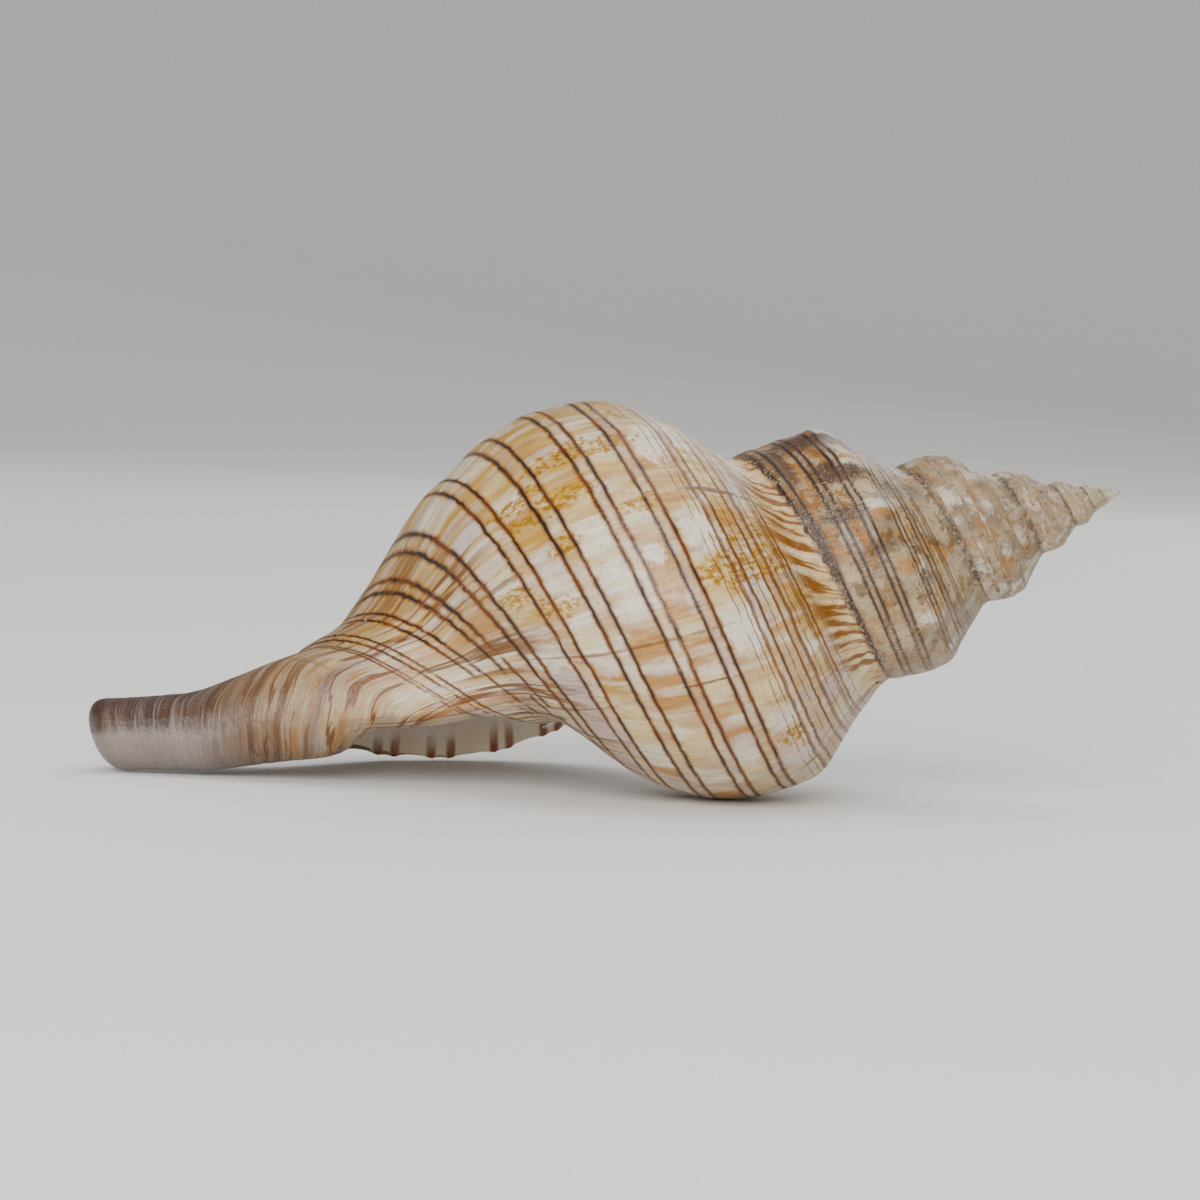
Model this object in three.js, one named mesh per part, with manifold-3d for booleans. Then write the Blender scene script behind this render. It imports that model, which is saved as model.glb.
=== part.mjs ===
// A spindle-shaped sea snail shell, coiled to the right and grown as one piece.
//
// The shell is worked out as it grows. A place on it is named by `turn`, which is 0 at the
// outer lip and falls by 1 for each whorl towards the apex, and by `drop`, the distance from
// the apex along the coil axis. The outline of a whorl gives the radius at that place. The
// solid is the whole outside, less the hollow that winds in from the aperture.
// Lengths are in millimetres and angles in degrees.

import * as THREE from 'three';
import Module from 'manifold-3d';

// Driving dimensions
const LENGTH = 120;            // apex to the end of the canal, along the coil axis
const LIP_SUTURE = 48.4;       // apex to the place where the lip meets the spire
const LIP_RADIUS = 32.6;       // widest radius, at the lip
const AXIAL_GROWTH = 1.74;     // each turn is this much longer than the one before
const RADIAL_GROWTH = 1.68;    // and this much wider
const FIRST_TURN = -5.6;       // where the coil starts, under the apex cap
const LIP_ANGLE = 253.7;       // angle of the lip round the axis, from the back of the shell
const WALL = 1.6;              // wall thickness at the lip whorl
const LIP_EDGE = 0.8;          // wall thickness at the edge of the lip
const GLAZE = 0.2;             // layer laid over the older whorl inside the aperture
const HOLLOW_END = -2.25;      // turn at which the modelled hollow stops
const HOLLOW_START = 0.035;    // the cutter starts this far outside the lip

// Resting place, lip down
const REST_ROLL = -3.03;
const REST_PITCH = -19.32;

// Knobs on the shoulder of each whorl
const KNOBS_PER_TURN = 12.78;
const KNOB_PHASE = 0.536;
const KNOB_PLACE = 0.44;       // down the whorl, as a share of its height
const KNOB_SPREAD = 0.13;
const KNOB_HEIGHT = { turns: [-6, -4, -1.2, -0.6, 0], values: [0.03, 0.06, 0.055, 0.03, 0.02] };

// Outlines, as shares of the widest radius, at places down the whorl. Place 0 is the suture
// above the whorl, 1 is the suture below it, and the rest is the base that the next whorl
// covers. Each column is a stage of growth: spire, last but one, knobbed side, last whorl.
const STAGES = [-1.9, -1.29, -0.79, -0.54];
const PLACES = [0, 0.08, 0.22, 0.36, 0.50, 0.66, 0.84, 1.0, 1.15, 1.30, 1.45, 1.62, 1.8];
const SUTURE_SHARE = [1.0, 0.98, 0.925, 0.885];
const SUTURE_STEP = 0.04;
const WHORL_SHARES = [
  [0.755, 0.77, 0.74, 0.795],
  [0.85, 0.885, 0.85, 0.91],
  [0.965, 0.99, 0.945, 0.965],
  [1.04, 1.01, 0.985, 0.996],
  [1.03, 1.0, 0.975, 0.963],
];
const BASE_SHARES = [
  [0.83, 0.79],
  [0.69, 0.59],
  [0.35, 0.385],
  [0.27, 0.27],
  [0.05, 0.055],
];

// Siphonal canal, by distance from the apex
const CANAL_RADIUS = {
  drops: [68, 92.8, 97.3, 103, 107, 113.7, 117.1],
  values: [7.0, 7.0, 6.5, 5.4, 4.75, 4.2, 4.1],
};
const CANAL_BEND = {
  drops: [63.4, 79.3, 92.8, 103, 107.5, 111.5, 116, 120],
  values: [0, -0.6, 2.0, 3.2, 3.7, 4.8, 6.1, 7.2],
};
const CANAL_SHARE = { turns: [-1, -0.9, -0.75, -0.5, 0, 0.15], values: [0.4, 0.61, 1.08, 1.04, 1.04, 1.1] };
const PILLAR_SHARE = 0.14;     // radius of the column inside the older whorls

// Beside the aperture the pillar is pinched by these shares, less and less along the canal
const PINCH = { turns: [-0.95, -0.85, -0.75, -0.7, -0.65, -0.57], values: [0, 0.5, 0.67, 0.62, 0.42, 0] };
const PINCH_FADE = { drops: [89.5, 93.5, 100, 108, 114], values: [1, 0.45, 0.32, 0.12, 0] };

const CANAL_BLEND = 1.6;       // rounding where the base runs into the canal
const TIP_ROUND = 2.9;         // length over which the canal's end closes
const TIP_POWER = 2.4;
const CANAL_WALL_SHARE = 0.28; // thinnest wall of the canal, as a share of its radius
const CANAL_DEPTH = { turns: [-0.62, -0.08], overrun: 2 };
const HOLLOW_TOP = 0.07;       // places where the hollow begins and ends
const HOLLOW_BASE = 1.4;
const SLOPE_STEP = 0.5;
const STEEPEST = 2;

// Facets
const COLUMNS = 52;            // per turn on the outside
const WHORL_ROWS = 7;          // from suture to suture
const BASE_ROWS = 19;          // from there to the end of the canal
const CAP_ROWS = 4;            // on the apex
const HOLLOW_COLUMNS = 28;     // per turn on the inside
const DEEP_COLUMNS = 14;       // per turn where the hollow is out of sight
const DEEP_TURN = -0.65;
const HOLLOW_ROWS = 16;

const SHELL_COLOUR = 0xd8c9b4;

// A smooth curve through the values, level outside them
function curve(stops, values, at) {
  const last = stops.length - 1;
  const x = THREE.MathUtils.clamp(at, stops[0], stops[last]);
  let i = 0;
  while (i < last - 1 && x >= stops[i + 1]) i += 1;
  const slope = (k) => {
    const before = Math.max(k - 1, 0);
    const after = Math.min(k + 1, last);
    return (values[after] - values[before]) / (stops[after] - stops[before]);
  };
  const width = stops[i + 1] - stops[i];
  const t = (x - stops[i]) / width;
  const start = (2 * t ** 3 - 3 * t ** 2 + 1) * values[i] + (t ** 3 - 2 * t ** 2 + t) * width * slope(i);
  const end = (-2 * t ** 3 + 3 * t ** 2) * values[i + 1] + (t ** 3 - t ** 2) * width * slope(i + 1);
  return start + end;
}

const sutureDrop = (turn) => LIP_SUTURE * AXIAL_GROWTH ** turn;
const whorlHeight = (turn) => sutureDrop(turn) * (AXIAL_GROWTH - 1);
const widestRadius = (turn) => LIP_RADIUS * RADIAL_GROWTH ** turn;
const angleAt = (turn) => THREE.MathUtils.degToRad(LIP_ANGLE - 360 * turn);

// The larger of two radii, with a rounded corner between them
const roundedMax = (a, b, round) => 0.5 * (a + b + Math.hypot(a - b, round));

// Radius of the whorl's outline, as a share of its widest radius
function outline(turn, place) {
  const top = curve(STAGES, SUTURE_SHARE, turn - 1) / RADIAL_GROWTH;
  const shares = [
    top,
    top + SUTURE_STEP,
    ...WHORL_SHARES.map((row) => curve(STAGES, row, turn)),
    curve(STAGES, SUTURE_SHARE, turn),
    ...BASE_SHARES.map((row) => curve(STAGES.slice(2), row, turn)),
  ];
  return curve(PLACES, shares, place);
}

function knob(turn, place) {
  const height = curve(KNOB_HEIGHT.turns, KNOB_HEIGHT.values, turn);
  const wave = 0.5 + 0.5 * Math.cos(2 * Math.PI * KNOBS_PER_TURN * (turn + KNOB_PHASE));
  return height * wave * Math.exp(-(((place - KNOB_PLACE) / KNOB_SPREAD) ** 2));
}

// Radius of the canal, or of the column inside the older whorls
function pillarRadius(turn, drop) {
  if (turn <= -1) return PILLAR_SHARE * widestRadius(turn);
  const share = curve(CANAL_SHARE.turns, CANAL_SHARE.values, turn);
  const fade = curve(PINCH_FADE.drops, PINCH_FADE.values, drop);
  const pinch = 1 - fade * curve(PINCH.turns, PINCH.values, turn);
  return share * pinch * curve(CANAL_RADIUS.drops, CANAL_RADIUS.values, drop);
}

// Radius of the outside before the canal's end is closed
function openRadius(turn, drop) {
  const place = (drop - sutureDrop(turn)) / whorlHeight(turn);
  const whorl = widestRadius(turn) * (outline(turn, Math.min(place, 1.8)) + knob(turn, place));
  if (place < 0.95) return whorl;
  const pillar = pillarRadius(turn, drop) * THREE.MathUtils.smoothstep(place, 1, 1.35);
  return roundedMax(whorl, pillar, CANAL_BLEND * THREE.MathUtils.smoothstep(place, 0.95, 1.3));
}

function outerRadius(turn, drop) {
  const along = THREE.MathUtils.clamp((drop - LENGTH + TIP_ROUND) / TIP_ROUND, 0, 1);
  return openRadius(turn, drop) * Math.sqrt(1 - along ** TIP_POWER);
}

// A place on the shell, with the coil axis along X, the apex at +X and the shell's back up
function pointAt(turn, drop, radius) {
  const angle = angleAt(turn);
  const lift = curve(CANAL_BEND.drops, CANAL_BEND.values, drop);
  return [LENGTH - drop, -radius * Math.sin(angle), radius * Math.cos(angle) + lift];
}

// A growing list of points and triangles
class Facets {
  constructor() {
    this.points = [];
    this.triangles = [];
  }

  add(point) {
    this.points.push(...point);
    return this.points.length / 3 - 1;
  }

  triangle(a, b, c) {
    if (a !== b && b !== c && c !== a) this.triangles.push(a, b, c);
  }

  strip(left, right) {
    for (let i = 0; i + 1 < left.length; i += 1) {
      this.triangle(left[i], right[i + 1], left[i + 1]);
      this.triangle(left[i], right[i], right[i + 1]);
    }
  }
}

// Distance from the apex of a row of the outside
function rowDrop(turn, row) {
  if (row <= WHORL_ROWS) return sutureDrop(turn) + (row / WHORL_ROWS) * whorlHeight(turn);
  const start = sutureDrop(turn + 1);
  const share = (row - WHORL_ROWS) / BASE_ROWS;
  return start + (LENGTH - start) * (1 - (1 - share) ** 1.4);
}

// The whole outside, closed at the apex and across the aperture
function outsideFacets() {
  const facets = new Facets();
  const columnCount = Math.round(-FIRST_TURN * COLUMNS);
  const turnOf = (column) => (column - columnCount) / COLUMNS;
  const onLastTurn = (column) => column >= columnCount - COLUMNS;
  const tip = facets.add(pointAt(0, LENGTH, 0));
  const grid = [];

  for (let column = 0; column <= columnCount; column += 1) {
    const turn = turnOf(column);
    const rows = onLastTurn(column) ? WHORL_ROWS + BASE_ROWS - 1 : WHORL_ROWS - 1;
    grid.push([]);
    for (let row = 0; row <= rows; row += 1) {
      if (row === WHORL_ROWS && column === columnCount - COLUMNS) {
        grid[column].push(-1);
      } else {
        const drop = rowDrop(turn, row);
        grid[column].push(facets.add(pointAt(turn, drop, outerRadius(turn, drop))));
      }
    }
  }
  // The bottom row of each older whorl is the top row of the next one
  for (let column = 0; column <= columnCount - COLUMNS; column += 1) {
    grid[column][WHORL_ROWS] = grid[column + COLUMNS][0];
  }
  for (let column = columnCount - COLUMNS; column <= columnCount; column += 1) grid[column].push(tip);

  for (let column = 0; column < columnCount; column += 1) {
    const rows = onLastTurn(column) ? WHORL_ROWS + BASE_ROWS + 1 : WHORL_ROWS + 1;
    facets.strip(grid[column].slice(0, rows), grid[column + 1].slice(0, rows));
  }

  closeAperture(facets, grid[columnCount], grid[columnCount - COLUMNS].slice(WHORL_ROWS));
  const rim = [];
  for (let column = 0; column < COLUMNS; column += 1) {
    rim.push({ turn: turnOf(column), index: grid[column][0] });
  }
  for (let row = WHORL_ROWS; row > 0; row -= 1) rim.push({ turn: FIRST_TURN, index: grid[0][row] });
  closeApex(facets, rim);
  return facets;
}

// The flat face between the lip and the older whorl beneath it
function closeAperture(facets, lip, wall) {
  let i = 0;
  let j = 0;
  const along = (index) => facets.points[index * 3];
  while (i + 1 < lip.length || j + 1 < wall.length) {
    const takeLip = j + 1 === wall.length || (i + 1 < lip.length && along(lip[i + 1]) > along(wall[j + 1]));
    if (takeLip) {
      facets.triangle(lip[i], wall[j], lip[i + 1]);
      i += 1;
    } else {
      facets.triangle(lip[i], wall[j], wall[j + 1]);
      j += 1;
    }
  }
}

// The rounded cap of the first whorl
function closeApex(facets, rim) {
  const apex = facets.add(pointAt(FIRST_TURN, 0, 0));
  const rings = [rim.map((spot) => spot.index)];
  for (let ring = 1; ring < CAP_ROWS; ring += 1) {
    const angle = (Math.PI / 2) * (1 - ring / CAP_ROWS);
    rings.push(rim.map((spot) => {
      const [x, y, z] = facets.points.slice(spot.index * 3, spot.index * 3 + 3);
      const drop = (LENGTH - x) * (1 - Math.cos(angle));
      return facets.add([LENGTH - drop, y * Math.sin(angle), z * Math.sin(angle)]);
    }));
  }
  rings.push(rim.map(() => apex));
  for (let ring = 0; ring < CAP_ROWS; ring += 1) {
    const lower = [...rings[ring], rings[ring][0]];
    const upper = [...rings[ring + 1], rings[ring + 1][0]];
    facets.strip(lower, upper);
  }
}

// How much thicker a wall is when measured across the axis, where the outside slopes
function slant(turn, drop) {
  const rise = openRadius(turn, drop + SLOPE_STEP) - openRadius(turn, drop - SLOPE_STEP);
  return Math.min(Math.hypot(1, rise / (2 * SLOPE_STEP)), STEEPEST);
}

// One cross-section of the hollow, as a closed loop of points
function hollowSection(turn) {
  const scale = widestRadius(turn) / LIP_RADIUS;
  const edge = THREE.MathUtils.smoothstep(turn, -0.08, 0);
  const wall = THREE.MathUtils.lerp(WALL, LIP_EDGE, edge) * scale;
  const top = sutureDrop(turn) + HOLLOW_TOP * whorlHeight(turn);
  const base = sutureDrop(turn) + HOLLOW_BASE * whorlHeight(turn);
  const reach = THREE.MathUtils.smoothstep(turn, ...CANAL_DEPTH.turns);
  const bottom = THREE.MathUtils.lerp(Math.min(base, LENGTH), LENGTH + CANAL_DEPTH.overrun, reach);
  const outer = [];
  const inner = [];
  for (let row = 0; row <= HOLLOW_ROWS; row += 1) {
    const drop = THREE.MathUtils.lerp(top, bottom, row / HOLLOW_ROWS);
    const outside = openRadius(turn, drop);
    const older = openRadius(turn - 1, drop) + GLAZE * scale;
    const inset = Math.min(wall * slant(turn, drop), CANAL_WALL_SHARE * outside);
    outer.push(pointAt(turn, drop, outside - inset));
    inner.unshift(pointAt(turn, drop, older));
  }
  return [...outer, ...inner];
}

// Evenly spaced turns from one to another, both included
function evenTurns(from, to, perTurn) {
  const count = Math.round((to - from) * perTurn);
  return Array.from({ length: count + 1 }, (_, i) => THREE.MathUtils.lerp(from, to, i / count));
}

// The hollow that winds in from the aperture, a little longer than it at the lip and the canal
function hollowFacets() {
  const facets = new Facets();
  const turns = [
    ...evenTurns(HOLLOW_END, DEEP_TURN, DEEP_COLUMNS).slice(0, -1),
    ...evenTurns(DEEP_TURN, HOLLOW_START, HOLLOW_COLUMNS),
  ];
  const loops = turns.map((turn) => hollowSection(turn).map((point) => facets.add(point)));
  const count = loops.length - 1;
  for (let column = 0; column < count; column += 1) {
    facets.strip([...loops[column], loops[column][0]], [...loops[column + 1], loops[column + 1][0]]);
  }
  const size = loops[0].length;
  for (const [loop, flip] of [[loops[0], false], [loops[count], true]]) {
    for (let i = 0; i < size / 2 - 1; i += 1) {
      const quad = [loop[i], loop[i + 1], loop[size - 2 - i], loop[size - 1 - i]];
      if (flip) quad.reverse();
      facets.triangle(quad[0], quad[1], quad[2]);
      facets.triangle(quad[0], quad[2], quad[3]);
    }
  }
  return facets;
}

function toSolid(wasm, facets) {
  const mesh = new wasm.Mesh({
    numProp: 3,
    vertProperties: new Float32Array(facets.points),
    triVerts: new Uint32Array(facets.triangles),
  });
  return new wasm.Manifold(mesh);
}

function toGeometry(solid) {
  const { vertProperties, triVerts } = solid.getMesh();
  const geometry = new THREE.BufferGeometry();
  geometry.setAttribute('position', new THREE.BufferAttribute(vertProperties, 3));
  geometry.setIndex(new THREE.BufferAttribute(triVerts, 1));
  geometry.computeVertexNormals();
  return geometry;
}

const wasm = await Module();
wasm.setup();
const shellSolid = toSolid(wasm, outsideFacets()).subtract(toSolid(wasm, hollowFacets()));

const shell = new THREE.Mesh(
  toGeometry(shellSolid),
  new THREE.MeshStandardMaterial({ color: SHELL_COLOUR, roughness: 0.4, metalness: 0 }),
);
shell.name = 'shell';
shell.rotation.set(
  THREE.MathUtils.degToRad(REST_ROLL),
  THREE.MathUtils.degToRad(REST_PITCH),
  0,
);

// The origin is under the middle of the shell, on the surface that it lies on
const part = new THREE.Group();
part.add(shell);
const box = new THREE.Box3().setFromObject(shell, true);
const middle = box.getCenter(new THREE.Vector3());
shell.position.set(-middle.x, -middle.y, -box.min.z);

export default part;
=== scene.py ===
"""A spindle-shaped sea snail shell, lying lip down on a pale floor.

The shell is shaped by its own growth. A place on it has a `turn`, which is 0 at the outer lip
and falls by 1 for each whorl towards the apex, and a `drop`, the distance from the apex along
the coil axis. `place` is the drop as a share of the whorl's height, from suture to suture.
Lengths are in millimetres, as in the CAD model, until a mesh is written in metres.
"""

import logging
import math
from collections.abc import Callable
from dataclasses import dataclass, field
from enum import Enum

import bmesh
import bpy
import numpy as np
from mathutils import Matrix, Vector


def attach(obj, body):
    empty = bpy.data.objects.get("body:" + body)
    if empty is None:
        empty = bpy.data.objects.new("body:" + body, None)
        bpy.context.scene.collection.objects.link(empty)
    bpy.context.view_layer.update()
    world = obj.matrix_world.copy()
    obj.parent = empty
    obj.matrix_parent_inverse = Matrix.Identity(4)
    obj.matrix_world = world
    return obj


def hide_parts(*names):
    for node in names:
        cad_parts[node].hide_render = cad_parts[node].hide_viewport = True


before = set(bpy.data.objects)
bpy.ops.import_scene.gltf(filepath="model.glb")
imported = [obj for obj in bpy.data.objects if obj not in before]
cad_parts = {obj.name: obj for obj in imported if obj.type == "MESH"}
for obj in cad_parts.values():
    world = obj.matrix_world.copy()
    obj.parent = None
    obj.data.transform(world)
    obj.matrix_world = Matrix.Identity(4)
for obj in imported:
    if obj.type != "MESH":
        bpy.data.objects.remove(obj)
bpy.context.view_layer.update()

log = logging.getLogger("shell")
Array = np.ndarray
MM = 0.001
FULL_TURN = 2 * math.pi


def smoothstep(at: Array, start: float, end: float) -> Array:
    """Rise smoothly from 0 at start to 1 at end."""
    t = np.clip((np.asarray(at, float) - start) / (end - start), 0, 1)
    return t * t * (3 - 2 * t)


def curve(stops: tuple, values: Array | tuple, at: Array) -> Array:
    """Follow a smooth curve through values, level outside them.

    Args:
        stops: Where the values stand, rising.
        values: One value for each stop, or one row of values for each stop.
        at: Where the curve is wanted, a flat array.

    Returns:
        The curve's value at each place.
    """
    stop, at, rows = np.asarray(stops, float), np.asarray(at, float), np.asarray(values, float)
    if rows.ndim == 1:
        rows = np.repeat(rows[:, None], len(at), axis=1)
    x = np.clip(at, stop[0], stop[-1])
    i = np.clip(np.searchsorted(stop, x, side="right") - 1, 0, len(stop) - 2)
    index, point = np.arange(len(stop)), np.arange(len(at))
    before, after = np.maximum(index - 1, 0), np.minimum(index + 1, len(stop) - 1)
    slopes = (rows[after] - rows[before]) / (stop[after] - stop[before])[:, None]
    width = stop[i + 1] - stop[i]
    t = (x - stop[i]) / width
    start = (2 * t**3 - 3 * t**2 + 1) * rows[i, point] + (t**3 - 2 * t**2 + t) * width * slopes[i, point]
    i = i + 1
    end = (3 * t**2 - 2 * t**3) * rows[i, point] + (t**3 - t**2) * width * slopes[i, point]
    return start + end


def ripple(at: Array, waves: tuple) -> Array:
    """Add sine waves, each given by its count per turn, its height and its phase in turns."""
    return sum(height * np.sin(FULL_TURN * (count * at + phase)) for count, height, phase in waves)


def humps(at: Array, centres: tuple, width: float, power: float = 2.0) -> Array:
    """Add smooth humps, each 1 high at its centre."""
    return sum(np.exp(-((abs(at - centre) / width) ** power)) for centre in centres)


@dataclass(frozen=True)
class GrowthLaw:
    """How the shell widens, lengthens and changes its outline as it grows."""

    length: float = 120.0
    lip_suture: float = 48.4
    lip_radius: float = 32.6
    axial_growth: float = 1.74
    radial_growth: float = 1.68
    first_turn: float = -5.6
    lip_angle: float = 253.7
    knobs_per_turn: float = 12.78
    knob_phase: float = 0.536
    knob_place: float = 0.44
    knob_spread: float = 0.13
    knob_turns: tuple = (-6, -4, -1.2, -0.6, 0)
    knob_heights: tuple = (0.03, 0.06, 0.055, 0.03, 0.02)
    stages: tuple = (-1.9, -1.29, -0.79, -0.54)
    places: tuple = (0, 0.08, 0.22, 0.36, 0.50, 0.66, 0.84, 1.0, 1.15, 1.30, 1.45, 1.62, 1.8)
    suture_share: tuple = (1.0, 0.98, 0.925, 0.885)
    suture_step: float = 0.04
    whorl_shares: tuple = (
        (0.755, 0.77, 0.74, 0.795), (0.85, 0.885, 0.85, 0.91), (0.965, 0.99, 0.945, 0.965),
        (1.04, 1.01, 0.985, 0.996), (1.03, 1.0, 0.975, 0.963))
    base_shares: tuple = ((0.83, 0.79), (0.69, 0.59), (0.35, 0.385), (0.27, 0.27), (0.05, 0.055))
    canal_drops: tuple = (68, 92.8, 97.3, 103, 107, 113.7, 117.1)
    canal_radii: tuple = (7.0, 7.0, 6.5, 5.4, 4.75, 4.2, 4.1)
    bend_drops: tuple = (63.4, 79.3, 92.8, 103, 107.5, 111.5, 116, 120)
    bend_lifts: tuple = (0, -0.6, 2.0, 3.2, 3.7, 4.8, 6.1, 7.2)
    canal_turns: tuple = (-1, -0.9, -0.75, -0.5, 0, 0.15)
    canal_shares: tuple = (0.4, 0.61, 1.08, 1.04, 1.04, 1.1)
    pillar_share: float = 0.14
    pinch_turns: tuple = (-0.95, -0.85, -0.75, -0.70, -0.65, -0.57)
    pinch_shares: tuple = (0, 0.5, 0.67, 0.62, 0.42, 0)
    pinch_drops: tuple = (89.5, 93.5, 100, 108, 114)
    pinch_fades: tuple = (1, 0.45, 0.32, 0.12, 0)
    canal_blend: float = 1.6
    tip_round: float = 2.9
    tip_power: float = 2.4
    last_place: float = 1.8
    skin: float = 0.12
    tip_gap: float = 0.06
    canal_gap: float = 0.22
    relief_fade: float = 2.5
    spire_drops: tuple = (0, 3, 9, 13)
    spire_shares: tuple = (0.80, 0.85, 0.89, 1)
    swing_places: tuple = (0.13, 0.38, 0.57, 0.95, 1.13, 1.28, 1.38, 1.5)
    swings: tuple = (0.12, 0.20, 0.29, 0.29, 0.24, 0.12, 0.03, 0.0)
    swing_phase: float = 0.545
    lean_places: tuple = (0, 0.12, 1.0, 1.2, 1.33, 1.42, 1.6, 1.75, 1.9, 2.0, 2.2, 2.4, 2.6, 3.0, 3.8, 4.6)
    leans: tuple = (0.02, 0, 0, 0.012, 0.028, 0.04, 0.05, 0.035, 0.01, -0.02, -0.09, -0.16, -0.24, -0.40,
                    -0.72, -1.04)
    welts: tuple = ((37.0, 0.5, 0.1), (61.3, 0.6, 0.33), (83.9, 0.45, 0.7), (23.7, 0.4, 0.5))
    welt_top: float = 1.6
    welt_depth: float = 0.045
    cords: tuple = (0.27, 0.378, 0.572, 0.747, 0.952, 1.127, 1.278, 1.376, 1.474, 1.615)
    cord_width: float = 0.034
    cord_depth: float = 0.13
    crimps: tuple = ((43.0, 0.5, 0.0), (67.0, 0.28, 0.4), (29.0, 0.3, 0.8))
    crimp_lean: float = 0.20
    crimp_top: float = 1.08
    crimp_depth: float = 0.34
    steepest: float = 2.0
    slope_step: float = 0.5

    def suture_drop(self, turn: Array) -> Array:
        """Distance from the apex of the suture above a turn."""
        return self.lip_suture * self.axial_growth ** np.asarray(turn, float)

    def whorl_height(self, turn: Array) -> Array:
        """Distance from the suture above a turn to the one below it."""
        return self.suture_drop(turn) * (self.axial_growth - 1)

    def size(self, turn: Array) -> Array:
        """Size of the whorl beside the one at the lip."""
        return self.radial_growth ** np.asarray(turn, float)

    def place(self, turn: Array, drop: Array) -> Array:
        """Share of the whorl's height: 0 at the suture above, 1 at the one below."""
        return (drop - self.suture_drop(turn)) / self.whorl_height(turn)

    def band(self, turn: Array, place: Array) -> Array:
        """The place as the spiral lines keep it, which swings a little round each turn."""
        swing = curve(self.swing_places, self.swings, place) / FULL_TURN
        return place + swing * np.sin(FULL_TURN * (turn + self.swing_phase))

    def age(self, turn: Array, place: Array) -> Array:
        """The turn at which the growth line through this place meets the whorl's middle."""
        return turn - curve(self.lean_places, self.leans, place)

    def outline(self, turn: Array, place: Array) -> Array:
        """Find the outline of the whorls and the base.

        Args:
            turn: Turn of each point.
            place: Its place on the whorl.

        Returns:
            The radius, as a share of the lip's times the whorl's size.
        """
        top = curve(self.stages, self.suture_share, turn - 1) / self.radial_growth
        rows = [top, top + self.suture_step]
        rows += [curve(self.stages, row, turn) for row in self.whorl_shares]
        rows += [curve(self.stages, self.suture_share, turn)]
        rows += [curve(self.stages[2:], row, turn) for row in self.base_shares]
        return curve(self.places, np.array(rows), place)

    def knob(self, turn: Array, place: Array) -> Array:
        """Height of the shoulder knobs, as a share like the outline's.

        Args:
            turn: Turn of each point.
            place: Its place on the whorl.

        Returns:
            The height.
        """
        wave = 0.5 + 0.5 * np.cos(FULL_TURN * self.knobs_per_turn * (turn + self.knob_phase))
        spread = np.exp(-(((place - self.knob_place) / self.knob_spread) ** 2))
        return curve(self.knob_turns, self.knob_heights, turn) * wave * spread

    def relief(self, turn: Array, place: Array) -> Array:
        """Find the low relief that the CAD model leaves out: welts, cords and the crimped suture.

        Args:
            turn: Turn of each point.
            place: Its place on the whorl.

        Returns:
            The depth in millimetres, never above 0.
        """
        age, band = self.age(turn, place), self.band(turn, place)
        swell = 0.6 + 0.4 * np.sin(FULL_TURN * (5.3 * age + 0.2))
        depth = self.welt_depth * (ripple(age, self.welts) * swell - self.welt_top)
        between = 1 - np.clip(humps(band, self.cords, self.cord_width), 0, 1)
        depth = depth - self.cord_depth * between * smoothstep(place, 0.1, 0.2)
        crimp = ripple(turn + self.crimp_lean * place, self.crimps)
        edge = smoothstep(place, 0.0, 0.02) * (1 - smoothstep(place, 0.06, 0.14))
        depth = depth + self.crimp_depth * edge * (crimp - self.crimp_top)
        return depth * self.size(turn)

    def pillar_radius(self, turn: Array, drop: Array) -> Array:
        """Find the radius of the canal, or of the column inside the older whorls.

        Args:
            turn: Turn of each point.
            drop: Its distance from the apex.

        Returns:
            The radius in millimetres.
        """
        fade = curve(self.pinch_drops, self.pinch_fades, drop)
        pinch = curve(self.pinch_turns, self.pinch_shares, turn) * fade
        share = curve(self.canal_turns, self.canal_shares, turn)
        canal = share * (1 - pinch) * curve(self.canal_drops, self.canal_radii, drop)
        return np.where(turn <= -1 + 1e-9, self.pillar_share * self.lip_radius * self.size(turn), canal)

    def open_radius(self, turn: Array, drop: Array) -> Array:
        """Find the radius of the outside before the canal's end is closed.

        Args:
            turn: Turn of each point.
            drop: Its distance from the apex.

        Returns:
            The radius in millimetres.
        """
        place = self.place(turn, drop)
        share = self.outline(turn, np.minimum(place, self.last_place)) + self.knob(turn, place)
        whorl = self.lip_radius * self.size(turn) * share
        pillar = self.pillar_radius(turn, drop) * smoothstep(place, 1, 1.35)
        corner = self.canal_blend * smoothstep(place, 0.95, 1.3)
        both = 0.5 * (whorl + pillar + np.hypot(whorl - pillar, corner))
        return np.where(place < 0.95, whorl, both)

    def outer_radius(self, turn: Array, drop: Array) -> Array:
        """Find the radius of the outside with its low relief and rounded canal, inside the CAD model's.

        Args:
            turn: Turn of each point.
            drop: Its distance from the apex.

        Returns:
            The radius in millimetres.
        """
        low = self.relief(turn, self.place(turn, drop)) - self.skin * self.size(turn)
        fine = self.open_radius(turn, drop) * curve(self.spire_drops, self.spire_shares, drop)
        fine = fine + low * smoothstep(drop, 0.0, self.relief_fade)
        end = self.length - self.canal_gap
        along = np.clip((drop - end + self.tip_round) / self.tip_round, 0, 1)
        return fine * np.sqrt(1 - along**self.tip_power)

    def slant(self, turn: Array, drop: Array) -> Array:
        """How much thicker the wall is when measured across the axis.

        Args:
            turn: Turn of each point.
            drop: Its distance from the apex.

        Returns:
            The factor, 1 where the wall is level with the axis.
        """
        step = self.slope_step
        rise = self.open_radius(turn, drop + step) - self.open_radius(turn, drop - step)
        return np.minimum(np.hypot(1, rise / (2 * step)), self.steepest)


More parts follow.
